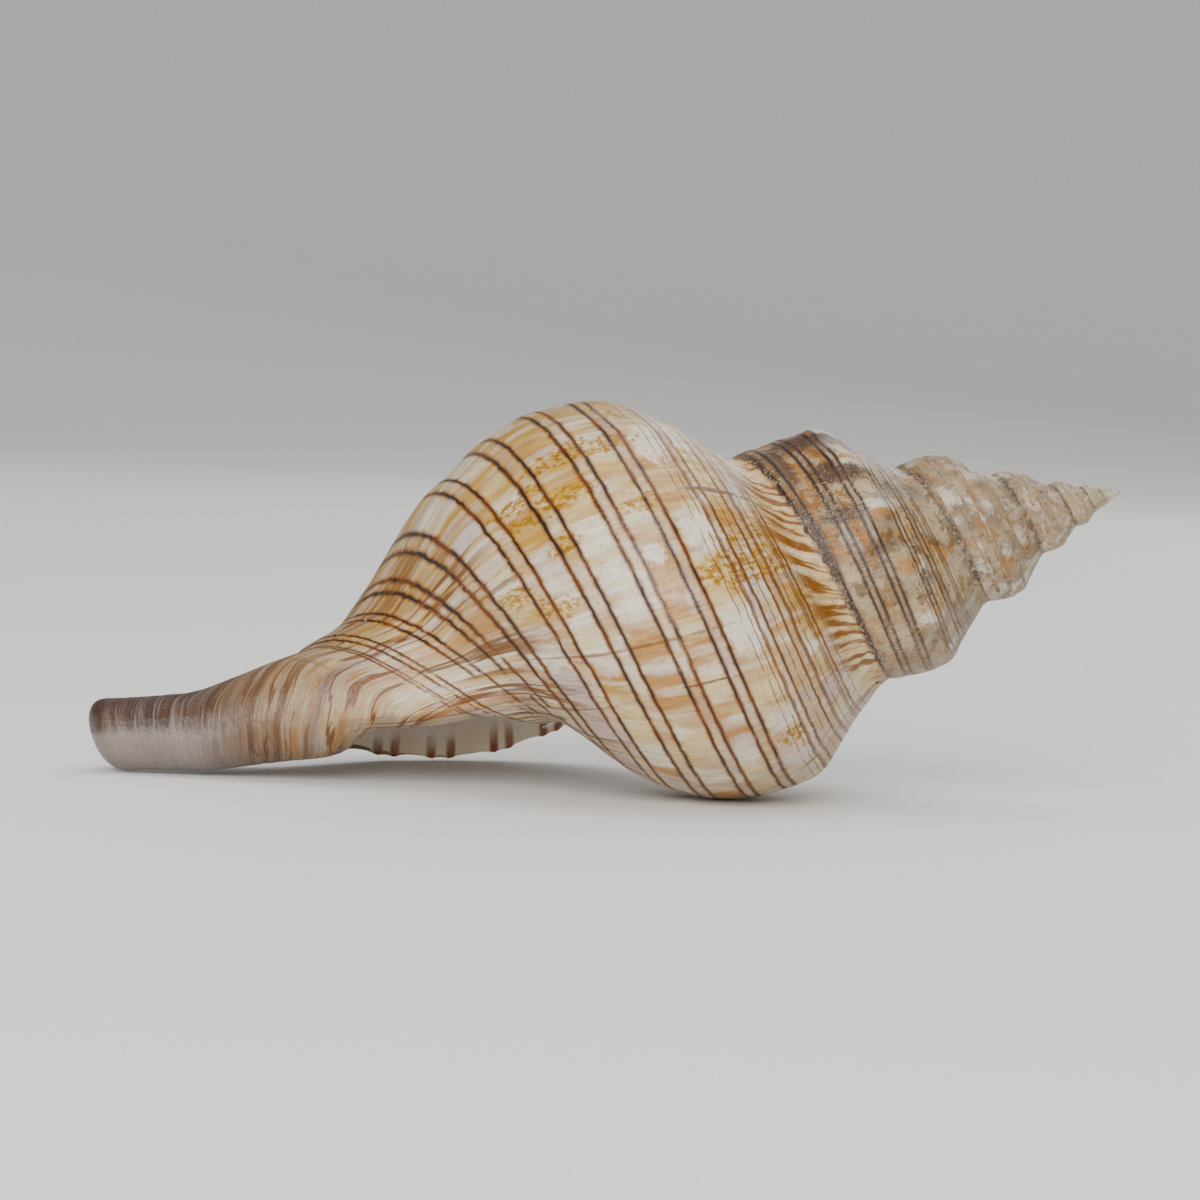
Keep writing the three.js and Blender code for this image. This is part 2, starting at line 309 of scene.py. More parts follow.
@dataclass(frozen=True)
class RestPose:
    """Where the shell lies when its lip is down, as in the CAD model."""

    roll: float = -3.03
    pitch: float = -19.32
    offset: tuple = (-55.2993, -4.5743, -2.8525)

    def matrix(self) -> Array:
        """Rotation from the coil's frame to the floor's."""
        roll = Matrix.Rotation(math.radians(self.roll), 3, "X")
        return np.array(roll @ Matrix.Rotation(math.radians(self.pitch), 3, "Y"))

    def to_floor(self, points: Array) -> Array:
        """Move points from the coil's frame to the floor's, in metres."""
        return (points @ self.matrix().T + np.array(self.offset)) * MM

    def to_coil(self, points: Array) -> Array:
        """Move points from the floor's frame, in metres, to the coil's."""
        return (points / MM - np.array(self.offset)) @ self.matrix()


class Side(Enum):
    """The two finishes of the shell, by material slot."""

    OUTSIDE = 0
    LINING = 1


def pick(*pieces: bpy.types.Object) -> None:
    """Leave edit mode and select these pieces alone, the first one active.

    Args:
        pieces: The pieces, none to leave everything unselected.
    """
    if bpy.context.object and bpy.context.object.mode != "OBJECT":
        bpy.ops.object.mode_set(mode="OBJECT")
    bpy.ops.object.select_all(action="DESELECT")
    for piece in pieces:
        piece.select_set(True)
    if pieces:
        bpy.context.view_layer.objects.active = pieces[0]


def edit(piece: bpy.types.Object, everything: bool = False) -> bmesh.types.BMesh:
    """Open a piece in edit mode, with all or nothing selected, and return its mesh.

    Args:
        piece: The piece.
        everything: Whether all of it is selected.

    Returns:
        The mesh that is being edited.
    """
    pick(piece)
    bpy.ops.object.mode_set(mode="EDIT")
    bpy.ops.mesh.select_mode(type="EDGE")
    bpy.ops.mesh.select_all(action="SELECT" if everything else "DESELECT")
    return bmesh.from_edit_mesh(piece.data)


def close_up(piece: bpy.types.Object) -> None:
    """Fill every opening of a piece, turn its faces outwards and leave edit mode.

    Args:
        piece: The piece.
    """
    edit(piece)
    bpy.ops.mesh.select_non_manifold(extend=False, use_wire=False, use_multi_face=False,
                                     use_non_contiguous=False, use_verts=False)
    bpy.ops.mesh.edge_face_add()
    bpy.ops.mesh.quads_convert_to_tris(quad_method="BEAUTY", ngon_method="BEAUTY")
    bpy.ops.mesh.select_all(action="SELECT")
    bpy.ops.mesh.normals_make_consistent(inside=False)
    bpy.ops.object.mode_set(mode="OBJECT")


def read(items: bpy.types.bpy_prop_collection, name: str, width: int = 1, kind: type = float) -> Array:
    """Read one property of every item of a mesh.

    Args:
        items: The vertices, faces or corners.
        name: Name of the property.
        width: How many numbers one item has.
        kind: Type of the numbers.

    Returns:
        A flat array, or one row for each item where an item has several numbers.
    """
    values = np.empty(len(items) * width, kind)
    items.foreach_get(name, values)
    return values if width == 1 else values.reshape(-1, width)


def add_grid(name: str, columns: int, rows: int) -> tuple[bpy.types.Object, Array, Array]:
    """Add a flat grid that is shaped afterwards.

    Args:
        name: Name of the new object.
        columns: Faces along X.
        rows: Faces along Y.

    Returns:
        The object, and the column and row number of each of its vertices.
    """
    pick()
    bpy.ops.mesh.primitive_grid_add(x_subdivisions=columns, y_subdivisions=rows, size=2)
    grid = bpy.context.object
    grid.name = grid.data.name = name
    flat = read(grid.data.vertices, "co", 3)
    share = (flat - flat.min(0))[:, :2] / (flat.max(0) - flat.min(0))[:2]
    column, row = np.rint(share * (columns, rows)).T
    return grid, column, row


def shape(grid: bpy.types.Object, points: Array, **labels: Array) -> bpy.types.Object:
    """Move the vertices of a grid, and keep numbers with them that outlast a join.

    Args:
        grid: The grid.
        points: Place of each vertex, in metres.
        labels: One array of numbers for each name.

    Returns:
        The grid.
    """
    grid.data.vertices.foreach_set("co", points.astype(np.float32).ravel())
    grid.data.update()
    for name, values in labels.items():
        layer = grid.data.attributes.new(name, "FLOAT", "POINT")
        layer.data.foreach_set("value", values.astype(np.float32))
    return grid


@dataclass
class ShellSurface:
    """The whole shell as one closed skin, with its hollow and its scalloped lip."""

    law: GrowthLaw = field(default_factory=GrowthLaw)
    rest: RestPose = field(default_factory=RestPose)
    columns: int = 220
    spire_rows: int = 34
    whorl_rows: int = 72
    base_rows: int = 108
    base_spacing: float = 1.2
    cap_rows: int = 10
    cap_power: float = 0.72
    weld: float = 0.0015
    suture_waves: tuple = ((31.0, 0.16, 0.1), (47.0, 0.12, 0.6), (19.0, 0.14, 0.3), (71.0, 0.07, 0.0))
    suture_calm: float = -4.2
    wall: float = 1.6
    lip_edge: float = 0.8
    lip_columns: int = 8
    lip_back: float = 0.43
    scallop: float = 0.45
    tooth_bands: tuple = (0.25, 0.288, 0.36, 0.396, 0.546, 0.598, 0.72, 0.774, 0.92, 0.984, 1.10, 1.154,
                          1.258, 1.298, 1.362, 1.39, 1.458, 1.49, 1.60, 1.63)
    lobe_bands: tuple = (0.572, 0.747, 0.952, 1.127, 1.278, 1.38, 1.474, 1.615)
    hollow_end: float = -2.25
    hollow_start: float = 0.035
    deep_turn: float = -0.65
    hollow_columns: int = 120
    deep_columns: int = 40
    hollow_rows: int = 44
    glaze: float = 0.2
    canal_wall_share: float = 0.28
    canal_depth: tuple = (-0.62, -0.08)
    canal_overrun: float = 2.0
    hollow_top: float = 0.07
    hollow_base: float = 1.4
    sharp_angle: float = 50.0

    def point_at(self, turn: Array, drop: Array, radius: Array) -> Array:
        """Find points of the shell on the floor's frame.

        Args:
            turn: Turn of each point.
            drop: Its distance from the apex.
            radius: Its distance from the coil's axis.

        Returns:
            The points, in metres.
        """
        angle = np.radians(self.law.lip_angle) - FULL_TURN * turn
        lift = curve(self.law.bend_drops, self.law.bend_lifts, drop)
        across, up = -radius * np.sin(angle), radius * np.cos(angle) + lift
        return self.rest.to_floor(np.stack([self.law.length - drop, across, up], 1))

    def read_coil(self, points: Array) -> tuple[Array, Array, Array]:
        """Find the turn, from -1 to 0, the drop and the radius of points on the floor's frame.

        Args:
            points: The points, in metres.

        Returns:
            The turns, the drops and the radii.
        """
        coil = self.rest.to_coil(points)
        drop = self.law.length - coil[:, 0]
        up = coil[:, 2] - curve(self.law.bend_drops, self.law.bend_lifts, drop)
        angle = np.degrees(np.arctan2(-coil[:, 1], up))
        return np.mod((self.law.lip_angle - angle) / 360, 1) - 1, drop, np.hypot(coil[:, 1], up)

    def suture_wave(self, turn: Array) -> Array:
        """How far the uneven suture strays from its even line."""
        calm = smoothstep(turn, self.law.first_turn, self.suture_calm)
        return ripple(turn, self.suture_waves) * self.law.size(turn) * calm

    def drop_at(self, turn: Array, share: Array) -> Array:
        """Distance from the apex at a share of the way from one suture to the next."""
        even = self.law.suture_drop(turn) + share * self.law.whorl_height(turn)
        return even + (1 - share) * self.suture_wave(turn) + share * self.suture_wave(turn + 1)

    def skin_radius(self, turn: Array, drop: Array, seam: Array) -> Array:
        """Radius of the outside. Along a seam it is that of the older whorl, so the two meet."""
        return self.law.outer_radius(np.where(seam, turn - 1, turn), drop)

    def build_spire(self) -> bpy.types.Object:
        """Shape the whorls above the last one, which end one column before it.

        Returns:
            The skin, open along its sides.
        """
        count = round((-1 - self.law.first_turn) * self.columns) - 1
        grid, column, row = add_grid("spire_skin", count, self.spire_rows)
        turn = self.law.first_turn + column / self.columns
        drop = self.drop_at(turn, row / self.spire_rows)
        points = self.point_at(turn, drop, self.skin_radius(turn, drop, row == 0))
        return shape(grid, points, turn=turn, drop=drop)

    def lip_shift(self, drop: Array) -> Array:
        """Find how far the edge of the lip stands back, with its scallops.

        Args:
            drop: Distance from the apex of each point of the edge.

        Returns:
            The distance in millimetres.
        """
        lip = np.zeros_like(drop)
        place = self.law.place(lip, drop)
        band = self.law.band(lip, place)
        teeth = 0.75 * humps(band, self.tooth_bands, 0.016, 1.5) + 0.35 * humps(band, self.lobe_bands, 0.05)
        between = (1 - np.clip(teeth, 0, 1)) * (1 - smoothstep(place, 1.65, 1.8))
        return self.lip_back + self.scallop * between

    def build_last_whorl(self) -> bpy.types.Object:
        """Shape the last whorl, its base and canal, and the half-round edge of its lip.

        Returns:
            The skin, open at its first column and along its first row.
        """
        law = self.law
        rows = self.whorl_rows + self.base_rows
        grid, column, row = add_grid("last_whorl_skin", self.columns + self.lip_columns, rows)
        turn = np.minimum(column / self.columns - 1, 0)
        label = np.minimum(column / self.columns - 1, 0.5)
        drop = self.drop_at(turn, np.minimum(row / self.whorl_rows, 1))
        along = np.clip((row - self.whorl_rows) / self.base_rows, 0, 1)
        end = law.length - law.canal_gap
        drop = drop + (end - drop) * (1 - (1 - along) ** self.base_spacing)
        radius = self.skin_radius(turn, np.minimum(drop, end), row == 0)
        radius = np.where(row == rows, 0.0, radius)

        # The edge of the lip bends round in all but its last two columns, which run on inwards
        curl = np.clip(column - self.columns, 0, None)
        bend = np.pi * np.minimum(curl / (self.lip_columns - 2), 1)
        beyond = np.clip(curl - (self.lip_columns - 2), 0, None)
        thick = self.lip_edge * law.slant(np.zeros_like(drop), drop)
        weight = smoothstep(row, 0, 5) * (1 - smoothstep(drop, law.length - 4, law.length - 1))
        inward = (0.5 * thick * (1 - np.cos(bend)) + 0.5 * beyond * thick) * weight
        forward = (0.5 * self.lip_edge * np.sin(bend) - 0.1 * beyond) * weight
        back = self.lip_shift(drop) * weight * smoothstep(turn, -0.02, 0)
        arc = np.maximum(law.open_radius(turn, drop), 3) * FULL_TURN
        turn = turn + (forward - back) / arc
        radius = np.maximum(radius - inward, np.where(curl > 0, 0.3 * radius, radius))
        points = self.point_at(turn, drop, radius)
        points[row == rows] = self.point_at(np.zeros(1), np.array([end]), np.zeros(1))[0]
        return shape(grid, points, turn=label, drop=drop)

    def build_cap(self) -> bpy.types.Object:
        """Shape the blunt cone over the first whorl.

        Returns:
            The skin, which follows the first suture and then the first column of the spire.
        """
        law = self.law
        grid, column, row = add_grid("apex_cap", self.columns + self.spire_rows, self.cap_rows)
        turned = column > self.columns
        turn = np.where(turned, law.first_turn, law.first_turn + column / self.columns)
        share = np.where(turned, 1 - (column - self.columns) / self.spire_rows, 0.0)
        drop = self.drop_at(turn, share)
        radius = self.skin_radius(turn, drop, share == 0)
        up = 1 - row / self.cap_rows
        height = np.where(row == 0, drop, law.tip_gap + (drop - law.tip_gap) * up)
        radius = np.where(row == self.cap_rows, 0.0, radius * up**self.cap_power)
        return shape(grid, self.point_at(turn, height, radius), turn=turn, drop=height)

    def join_outside(self) -> bpy.types.Object:
        """Join the spire, the last whorl and the cap, and close what is still open.

        Returns:
            The closed outside.
        """
        shell, *others = self.build_last_whorl(), self.build_spire(), self.build_cap()
        pick(shell, *others)
        bpy.ops.object.join()
        edit(shell, everything=True)
        bpy.ops.mesh.remove_doubles(threshold=self.weld * MM)
        self.bridge_column(shell)
        close_up(shell)
        return shell

    def bridge_column(self, shell: bpy.types.Object) -> None:
        """Bridge the open column between the spire, with fewer rows, and the last whorl.

        Args:
            shell: The joined skins.
        """
        mesh = edit(shell)
        turns, drops = mesh.verts.layers.float["turn"], mesh.verts.layers.float["drop"]
        bottom = self.law.lip_suture + 1

        def column_of(edge: bmesh.types.BMEdge) -> int:
            """Number of the column that an edge runs along, or -1."""
            columns = [round((vert[turns] % 1) * self.columns) % self.columns for vert in edge.verts]
            low = max(vert[drops] for vert in edge.verts) < bottom
            return columns[0] if low and columns[0] == columns[1] else -1

        for edge in mesh.edges:
            edge.select = edge.is_boundary and column_of(edge) in (0, self.columns - 1)
        bmesh.update_edit_mesh(shell.data)
        bpy.ops.mesh.bridge_edge_loops()

    def hollow_outer(self, turn: Array, drop: Array) -> Array:
        """Find the inside of the outer wall.

        Args:
            turn: Turn of each point.
            drop: Its distance from the apex.

        Returns:
            The radius in millimetres.
        """
        law = self.law
        wall = self.wall + (self.lip_edge - self.wall) * smoothstep(turn, -0.08, 0)
        outside = law.open_radius(turn, drop)
        wall = wall * law.size(turn) * law.slant(turn, drop)
        return outside - np.minimum(wall, self.canal_wall_share * outside)

    def hollow_inner(self, turn: Array, drop: Array) -> Array:
        """Radius of the older whorl, under the layer laid over it inside the aperture."""
        return self.law.open_radius(turn - 1, drop) + self.glaze * self.law.size(turn)

    def build_hollow(self) -> bpy.types.Object:
        """Shape the hollow that winds in from the aperture.

        Returns:
            A closed piece to be cut away from the shell.
        """
        law = self.law
        deep = round((self.deep_turn - self.hollow_end) * self.deep_columns)
        near = round((self.hollow_start - self.deep_turn) * self.hollow_columns)
        around = 2 * self.hollow_rows + 1
        grid, column, row = add_grid("hollow_cutter", deep + near, around + 1)
        turn = np.interp(column, (0, deep, deep + near), (self.hollow_end, self.deep_turn, self.hollow_start))
        row = row % (around + 1)
        outer = row <= self.hollow_rows
        share = np.where(outer, row, around - row) / self.hollow_rows
        top = law.suture_drop(turn) + self.hollow_top * law.whorl_height(turn)
        base = np.minimum(law.suture_drop(turn) + self.hollow_base * law.whorl_height(turn), law.length)
        bottom = base + (law.length + self.canal_overrun - base) * smoothstep(turn, *self.canal_depth)
        drop = top + (bottom - top) * share
        radius = np.where(outer, self.hollow_outer(turn, drop), self.hollow_inner(turn, drop))
        shape(grid, self.point_at(turn, drop, radius))
        edit(grid, everything=True)
        bpy.ops.mesh.remove_doubles(threshold=self.weld * MM)
        close_up(grid)
        return grid

    def face_turns(self, shell: bpy.types.Object, lined: Array) -> tuple[Array, Array]:
        """Find which whorl each face belongs to.

        Args:
            shell: The hollowed shell.
            lined: Whether each face is part of the lining.

        Returns:
            The turn of each face's middle, and whether the face lies on the pillar's side.
        """
        law = self.law
        turn, drop, radius = self.read_coil(read(shell.data.polygons, "center", 3))
        outer_turn = turn.copy()
        for _ in range(math.ceil(-law.first_turn)):
            suture = law.suture_drop(outer_turn) + self.suture_wave(outer_turn)
            outer_turn = np.where(drop < suture, outer_turn - 1, outer_turn)
        best = np.full(len(turn), np.inf)
        inner_turn, on_pillar = turn.copy(), np.zeros(len(turn), bool)
        for older in range(3):
            wall_miss = abs(self.hollow_outer(turn - older, drop) - radius)
            pillar_miss = abs(self.hollow_inner(turn - older, drop) - radius)
            miss = np.minimum(wall_miss, pillar_miss)
            closer = miss < best
            inner_turn = np.where(closer, turn - older, inner_turn)
            on_pillar = np.where(closer, pillar_miss < wall_miss, on_pillar)
            best = np.where(closer, miss, best)
        return np.where(lined, inner_turn, outer_turn), on_pillar

    def label_growth(self, shell: bpy.types.Object) -> None:
        """Write each face corner's growth coordinates into UV maps, for the finishes to follow.

        Args:
            shell: The hollowed shell.
        """
        law, mesh = self.law, shell.data
        lined = read(mesh.polygons, "material_index", kind=int) == Side.LINING.value
        face_turn, on_pillar = self.face_turns(shell, lined)
        face = np.repeat(np.arange(len(lined)), read(mesh.polygons, "loop_total", kind=int))
        vertex = read(mesh.loops, "vertex_index", kind=int)
        turn, drop, _ = self.read_coil(read(mesh.vertices, "co", 3)[vertex])
        turn = turn + np.rint(face_turn[face] - turn)
        place = law.place(turn, drop)
        maps = {
            "growth": (law.age(turn, place), law.band(turn, place)),
            "place": (turn, place),
            "axis": (drop / law.length, on_pillar[face].astype(float)),
        }
        while mesh.uv_layers:
            mesh.uv_layers.remove(mesh.uv_layers[0])
        for name, both in maps.items():
            layer = mesh.uv_layers.new(name=name)
            layer.data.foreach_set("uv", np.stack(both, 1).astype(np.float32).ravel())

    def build(self) -> bpy.types.Object:
        """Make the shell, hollow it and smooth its shading.

        Returns:
            The finished shell, at the world's origin.
        """
        shell, hollow = self.join_outside(), self.build_hollow()
        for side in Side:
            material = bpy.data.materials.new(side.name)
            for piece in (shell, hollow):
                piece.data.materials.append(material)
        count = len(hollow.data.polygons)
        hollow.data.polygons.foreach_set("material_index", [Side.LINING.value] * count)
        pick(shell)
        cut = shell.modifiers.new("hollow", "BOOLEAN")
        cut.object = hollow
        cut.operation = "DIFFERENCE"
        cut.solver = "MANIFOLD"
        before = len(shell.data.polygons)
        bpy.ops.object.modifier_apply(modifier=cut.name)
        log.info("hollow cut: %d faces before, %d after", before, len(shell.data.polygons))
        bpy.data.objects.remove(hollow)
        shell.name = shell.data.name = "shell_surface"
        self.label_growth(shell)
        pick(shell)
        bpy.ops.object.shade_smooth_by_angle(angle=math.radians(self.sharp_angle))
        return shell


def srgb(red: int, green: int, blue: int) -> tuple[float, float, float, float]:
    """Turn a colour as it is seen on a screen, 0 to 255, into the shader's linear one."""
    seen = (channel / 255 for channel in (red, green, blue))
    return (*(c / 12.92 if c <= 0.04045 else ((c + 0.055) / 1.055) ** 2.4 for c in seen), 1.0)


Source = float | tuple | bpy.types.NodeSocket


class Wiring:
    """Adds shader nodes to one node tree and links them."""

    def __init__(self, tree: bpy.types.NodeTree) -> None:
        """Start on an emptied node tree."""
        self.tree = tree
        tree.nodes.clear()

    def feed(self, socket: bpy.types.NodeSocket, source: Source) -> None:
        """Link a socket to another one, or set its value.

        Args:
            socket: The socket to feed.
            source: Another socket, or a value.
        """
        if isinstance(source, bpy.types.NodeSocket):
            self.tree.links.new(source, socket)
        else:
            socket.default_value = source

    def add(self, kind: str, sources: dict, **settings: object) -> bpy.types.Node:
        """Add a node.

        Args:
            kind: The node's type in Blender.
            sources: What feeds its inputs, by name or number.
            settings: Its other settings.

        Returns:
            The node.
        """
        node = self.tree.nodes.new(kind)
        for name, value in settings.items():
            setattr(node, name, value)
        for name, source in sources.items():
            self.feed(node.inputs[name], source)
        return node

    def math(self, operation: str, first: Source, second: Source = 0.0) -> bpy.types.NodeSocket:
        """Add a Math node and return its value."""
        return self.add("ShaderNodeMath", {0: first, 1: second}, operation=operation).outputs[0]

    def chain(self, operation: str, values: tuple) -> Source:
        """Join values by one operation, from first to last.

        Args:
            operation: The Math node's operation.
            values: The values.

        Returns:
            The result.
        """
        result = values[0]
        for value in values[1:]:
            result = self.math(operation, result, value)
        return result

    def times(self, *values: Source) -> Source:
        """Multiply values together."""
        return self.chain("MULTIPLY", values)

    def plus(self, *values: Source) -> Source:
        """Add values together."""
        return self.chain("ADD", values)

    def most(self, *values: Source) -> Source:
        """Take the greatest of several values."""
        return self.chain("MAXIMUM", values)

    def off(self, value: Source, centre: Source) -> Source:
        """Distance of a value from a centre."""
        return self.math("ABSOLUTE", self.math("SUBTRACT", value, centre))

    def rest(self, share: Source) -> Source:
        """What a share leaves over."""
        return self.math("SUBTRACT", 1.0, share)

    def step(self, value: Source, start: Source, end: Source, low: Source = 0.0,
             high: Source = 1.0) -> bpy.types.NodeSocket:
        """Rise smoothly from low at start to high at end."""
        sources = {"Value": value, "From Min": start, "From Max": end, "To Min": low, "To Max": high}
        return self.add("ShaderNodeMapRange", sources, interpolation_type="SMOOTHSTEP").outputs[0]

    def fall(self, value: Source, start: Source, end: Source) -> bpy.types.NodeSocket:
        """Fall smoothly from 1 at start to 0 at end."""
        return self.step(value, start, end, 1.0, 0.0)

    def mix(self, share: Source, first: Source, second: Source, how: str = "MIX") -> bpy.types.NodeSocket:
        """Mix two colours and return the result."""
        settings = {"data_type": "RGBA", "blend_type": how}
        return self.add("ShaderNodeMix", {0: share, 6: first, 7: second}, **settings).outputs[2]

    def combine(self, x: Source, y: Source, z: Source = 0.0) -> bpy.types.NodeSocket:
        """Make a vector of three values."""
        return self.add("ShaderNodeCombineXYZ", {0: x, 1: y, 2: z}).outputs[0]

    def noise(self, where: Source, scale: float = 1.0, detail: float = 3.0,
              rough: float = 0.5) -> bpy.types.NodeSocket:
        """Add a noise texture and return its value."""
        sources = {"Vector": where, "Scale": scale, "Detail": detail, "Roughness": rough}
        return self.add("ShaderNodeTexNoise", sources).outputs[0]

    def group(self, name: str, **sources: Source) -> bpy.types.Node:
        """Place a node group; an underscore in an input's name stands for a space.

        Args:
            name: Name of the group.
            sources: What feeds its inputs.

        Returns:
            The group's node.
        """
        node = self.add("ShaderNodeGroup", {}, node_tree=bpy.data.node_groups[name])
        for key, source in sources.items():
            self.feed(node.inputs[key.replace("_", " ")], source)
        return node

    def finish(self, **inputs: Source) -> None:
        """Add the material's shader and its output; an underscore stands for a space."""
        inputs = {key.replace("_", " "): source for key, source in inputs.items()}
        shader = self.add("ShaderNodeBsdfPrincipled", inputs)
        self.add("ShaderNodeOutputMaterial", {"Surface": shader.outputs[0]})


class Effect:
    """A shader effect that more than one finish uses, built once as a node group."""

    def __init__(self, name: str, inputs: dict[str, float], outputs: tuple) -> None:
        """Make the group with its sockets.

        Args:
            name: Name of the group.
            inputs: Each input's name and the value it has when nothing feeds it.
            outputs: Name of each output, all of them values.
        """
        tree = bpy.data.node_groups.new(name, "ShaderNodeTree")
        for key, value in inputs.items():
            socket = tree.interface.new_socket(key, in_out="INPUT", socket_type="NodeSocketFloat")
            socket.default_value = value
        for key in outputs:
            tree.interface.new_socket(key, in_out="OUTPUT", socket_type="NodeSocketFloat")
        self.wiring = Wiring(tree)
        self.inputs = self.wiring.add("NodeGroupInput", {}).outputs
        self.end = self.wiring.add("NodeGroupOutput", {}).inputs

    def put_out(self, **values: Source) -> None:
        """Link values to the group's outputs."""
        for key, value in values.items():
            self.wiring.feed(self.end[key], value)


def build_growth_reader() -> None:
    """Group that reads where a point is in the growth of the shell."""
    maps = {"growth": ("Age", "Band"), "place": ("Turn", "Place"), "axis": ("Drop", "Pillar")}
    effect = Effect("growth_reader", {}, sum(maps.values(), ()))
    w = effect.wiring
    for name, (across, down) in maps.items():
        reader = w.add("ShaderNodeUVMap", {}, uv_map=name)
        parts = w.add("ShaderNodeSeparateXYZ", {0: reader.outputs[0]})
        effect.put_out(**{across: parts.outputs[0], down: parts.outputs[1]})


def build_line_pair() -> None:
    """Group that draws two spiral lines side by side, each a dark core in a soft halo."""
    inputs = {"Band": 0.0, "Centre": 0.5, "Gap": 0.05, "Width": 0.013, "Strength": 1.0}
    effect = Effect("line_pair", inputs, ("Core", "Halo", "Within"))
    w, i = effect.wiring, effect.inputs
    off = w.off(i["Band"], i["Centre"])
    within = w.fall(w.math("DIVIDE", off, i["Gap"]), 0.38, 0.52)
    off = w.math("DIVIDE", w.off(off, w.times(i["Gap"], 0.5)), i["Width"])
    core = w.times(w.fall(off, 0.20, 0.62), i["Strength"])
    halo = w.times(w.fall(off, 0.45, 1.25), i["Strength"])
    effect.put_out(Core=core, Halo=halo, Within=within)


def build_stain() -> None:
    """Group that lays one soft or ragged patch at a place on the growth."""
    inputs = {"Age": 0.0, "Band": 0.0, "At Age": 0.0, "At Band": 0.5, "Age Reach": 0.02, "Band Reach": 0.1,
              "Ragged": 0.0}
    effect = Effect("stain", inputs, ("Mask",))
    w, i = effect.wiring, effect.inputs
    across = w.math("DIVIDE", w.math("SUBTRACT", i["Age"], i["At Age"]), i["Age Reach"])
    down = w.math("DIVIDE", w.math("SUBTRACT", i["Band"], i["At Band"]), i["Band Reach"])
    far = w.plus(w.times(across, across), w.times(down, down), i["Ragged"])
    effect.put_out(Mask=w.fall(far, 0.25, 1.25))


def build_streaks() -> None:
    """Group that makes uneven streaks along the growth lines, cut up by the bands they cross."""
    inputs = {"Age": 0.0, "Band": 0.0, "Across": 60.0, "Along": 4.0, "Seed": 0.0, "Start": 0.5, "End": 0.62}
    effect = Effect("streaks", inputs, ("Mask", "Value"))
    w, i = effect.wiring, effect.inputs
    where = w.combine(w.times(i["Age"], i["Across"]), w.times(i["Band"], i["Along"]), i["Seed"])
    value = w.noise(where, 1.0, 4.0, 0.55)
    effect.put_out(Value=value, Mask=w.step(value, i["Start"], i["End"]))


LINE_PAIRS = (
    # centre, gap and strength of each pair of spiral lines, by band
    (0.174, 0.018, 0.7), (0.269, 0.038, 0.9), (0.378, 0.036, 0.9), (0.572, 0.052, 1.0),
    (0.747, 0.054, 1.0), (0.952, 0.064, 1.0), (1.127, 0.054, 1.0), (1.278, 0.040, 1.0),
    (1.376, 0.030, 1.0), (1.474, 0.034, 1.0), (1.615, 0.034, 1.0), (1.70, 0.022, 0.9),
)
WIDE_GAP = 0.035


class Site:
    """Where a point of the shell is in its growth, as sockets of one material."""

    def __init__(self, wiring: Wiring) -> None:
        """Read the growth coordinates and make the grain that the finishes share.

        Args:
            wiring: The material's wiring.
        """
        w = self.wiring = wiring
        reader = w.group("growth_reader").outputs
        self.age, self.band, self.turn = reader["Age"], reader["Band"], reader["Turn"]
        self.place, self.drop, self.pillar = reader["Place"], reader["Drop"], reader["Pillar"]
        self.body = w.add("ShaderNodeTexCoord", {}).outputs["Object"]
        self.grain = w.combine(w.times(self.age, 170.0), w.times(self.band, 36.0))
        self.ragged = w.times(w.plus(w.noise(self.grain, 0.8, 4.0, 0.6), -0.5), 3.4)
        self.old = w.step(self.turn, -0.80, -1.12)
        self.cell: Source = 0.0

    def field(self, across: float, down: float, depth: Source = 0.0, detail: float = 2.0,
              rough: float = 0.5) -> Source:
        """Noise drawn out along the growth, by its count in a turn and in a whorl's height.

        Args:
            across: Count in a turn.
            down: Count in a whorl's height.
            depth: Place along the third axis, which sets one noise apart from another.
            detail: The noise's detail.
            rough: Its roughness.

        Returns:
            The noise's value.
        """
        w = self.wiring
        where = w.combine(w.times(self.age, across), w.times(self.band, down), depth)
        return w.noise(where, 1.0, detail, rough)

    def streaks(self, across: float, along: float, seed: float, start: float, end: float) -> Source:
        """Mask of one set of streaks, which changes from one space between the lines to the next.

        Args:
            across: How many streaks a turn holds, about.
            along: How many times a streak changes down the whorl, about.
            seed: A number that no other set has.
            start: Noise value where the mask is 0. The lower it is, the more the streaks cover.
            end: Noise value where the mask is 1.

        Returns:
            The mask.
        """
        w = self.wiring
        seed = w.plus(w.times(self.cell, 3.7), seed)
        return w.group("streaks", Age=self.age, Band=self.band, Across=across, Along=along, Seed=seed,
                       Start=start, End=end).outputs["Mask"]

    def patches(self, ragged: Source, table: tuple) -> Source:
        """Find the mask of every patch of a table.

        Args:
            ragged: How far the edges of the patches stray.
            table: Age, band, reach along the growth, reach down the band and strength of each.

        Returns:
            The mask.
        """
        w, total = self.wiring, 0.0
        for age, band, age_reach, band_reach, strength in table:
            stain = w.group("stain", Age=self.age, Band=self.band, At_Age=age, At_Band=band,
                            Age_Reach=age_reach, Band_Reach=band_reach, Ragged=ragged)
            total = w.most(total, w.times(stain.outputs["Mask"], strength))
        return total

    def flecks(self, scale: float, start: float, end: float, detail: float = 3.0) -> Source:
        """Mask of specks that keep their size all over the shell."""
        w = self.wiring
        return w.step(w.noise(self.body, scale, detail, 0.6), start, end)


@dataclass
class Paint:
    """A colour that is built up coat by coat."""

    site: Site
    colour: Source

    def lay(self, colour: Source, *shares: Source) -> None:
        """Lay a colour over the ones before it, by the product of its shares."""
        w = self.site.wiring
        self.colour = w.mix(w.times(*shares), self.colour, colour)

    def lay_all(self, mask: Callable[..., Source], table: tuple, *shares: Source) -> None:
        """Lay every row of a table: its colour, what its mask is made from, and its own share."""
        for colour, *terms, share in table:
            self.lay(colour, mask(*terms), share, *shares)


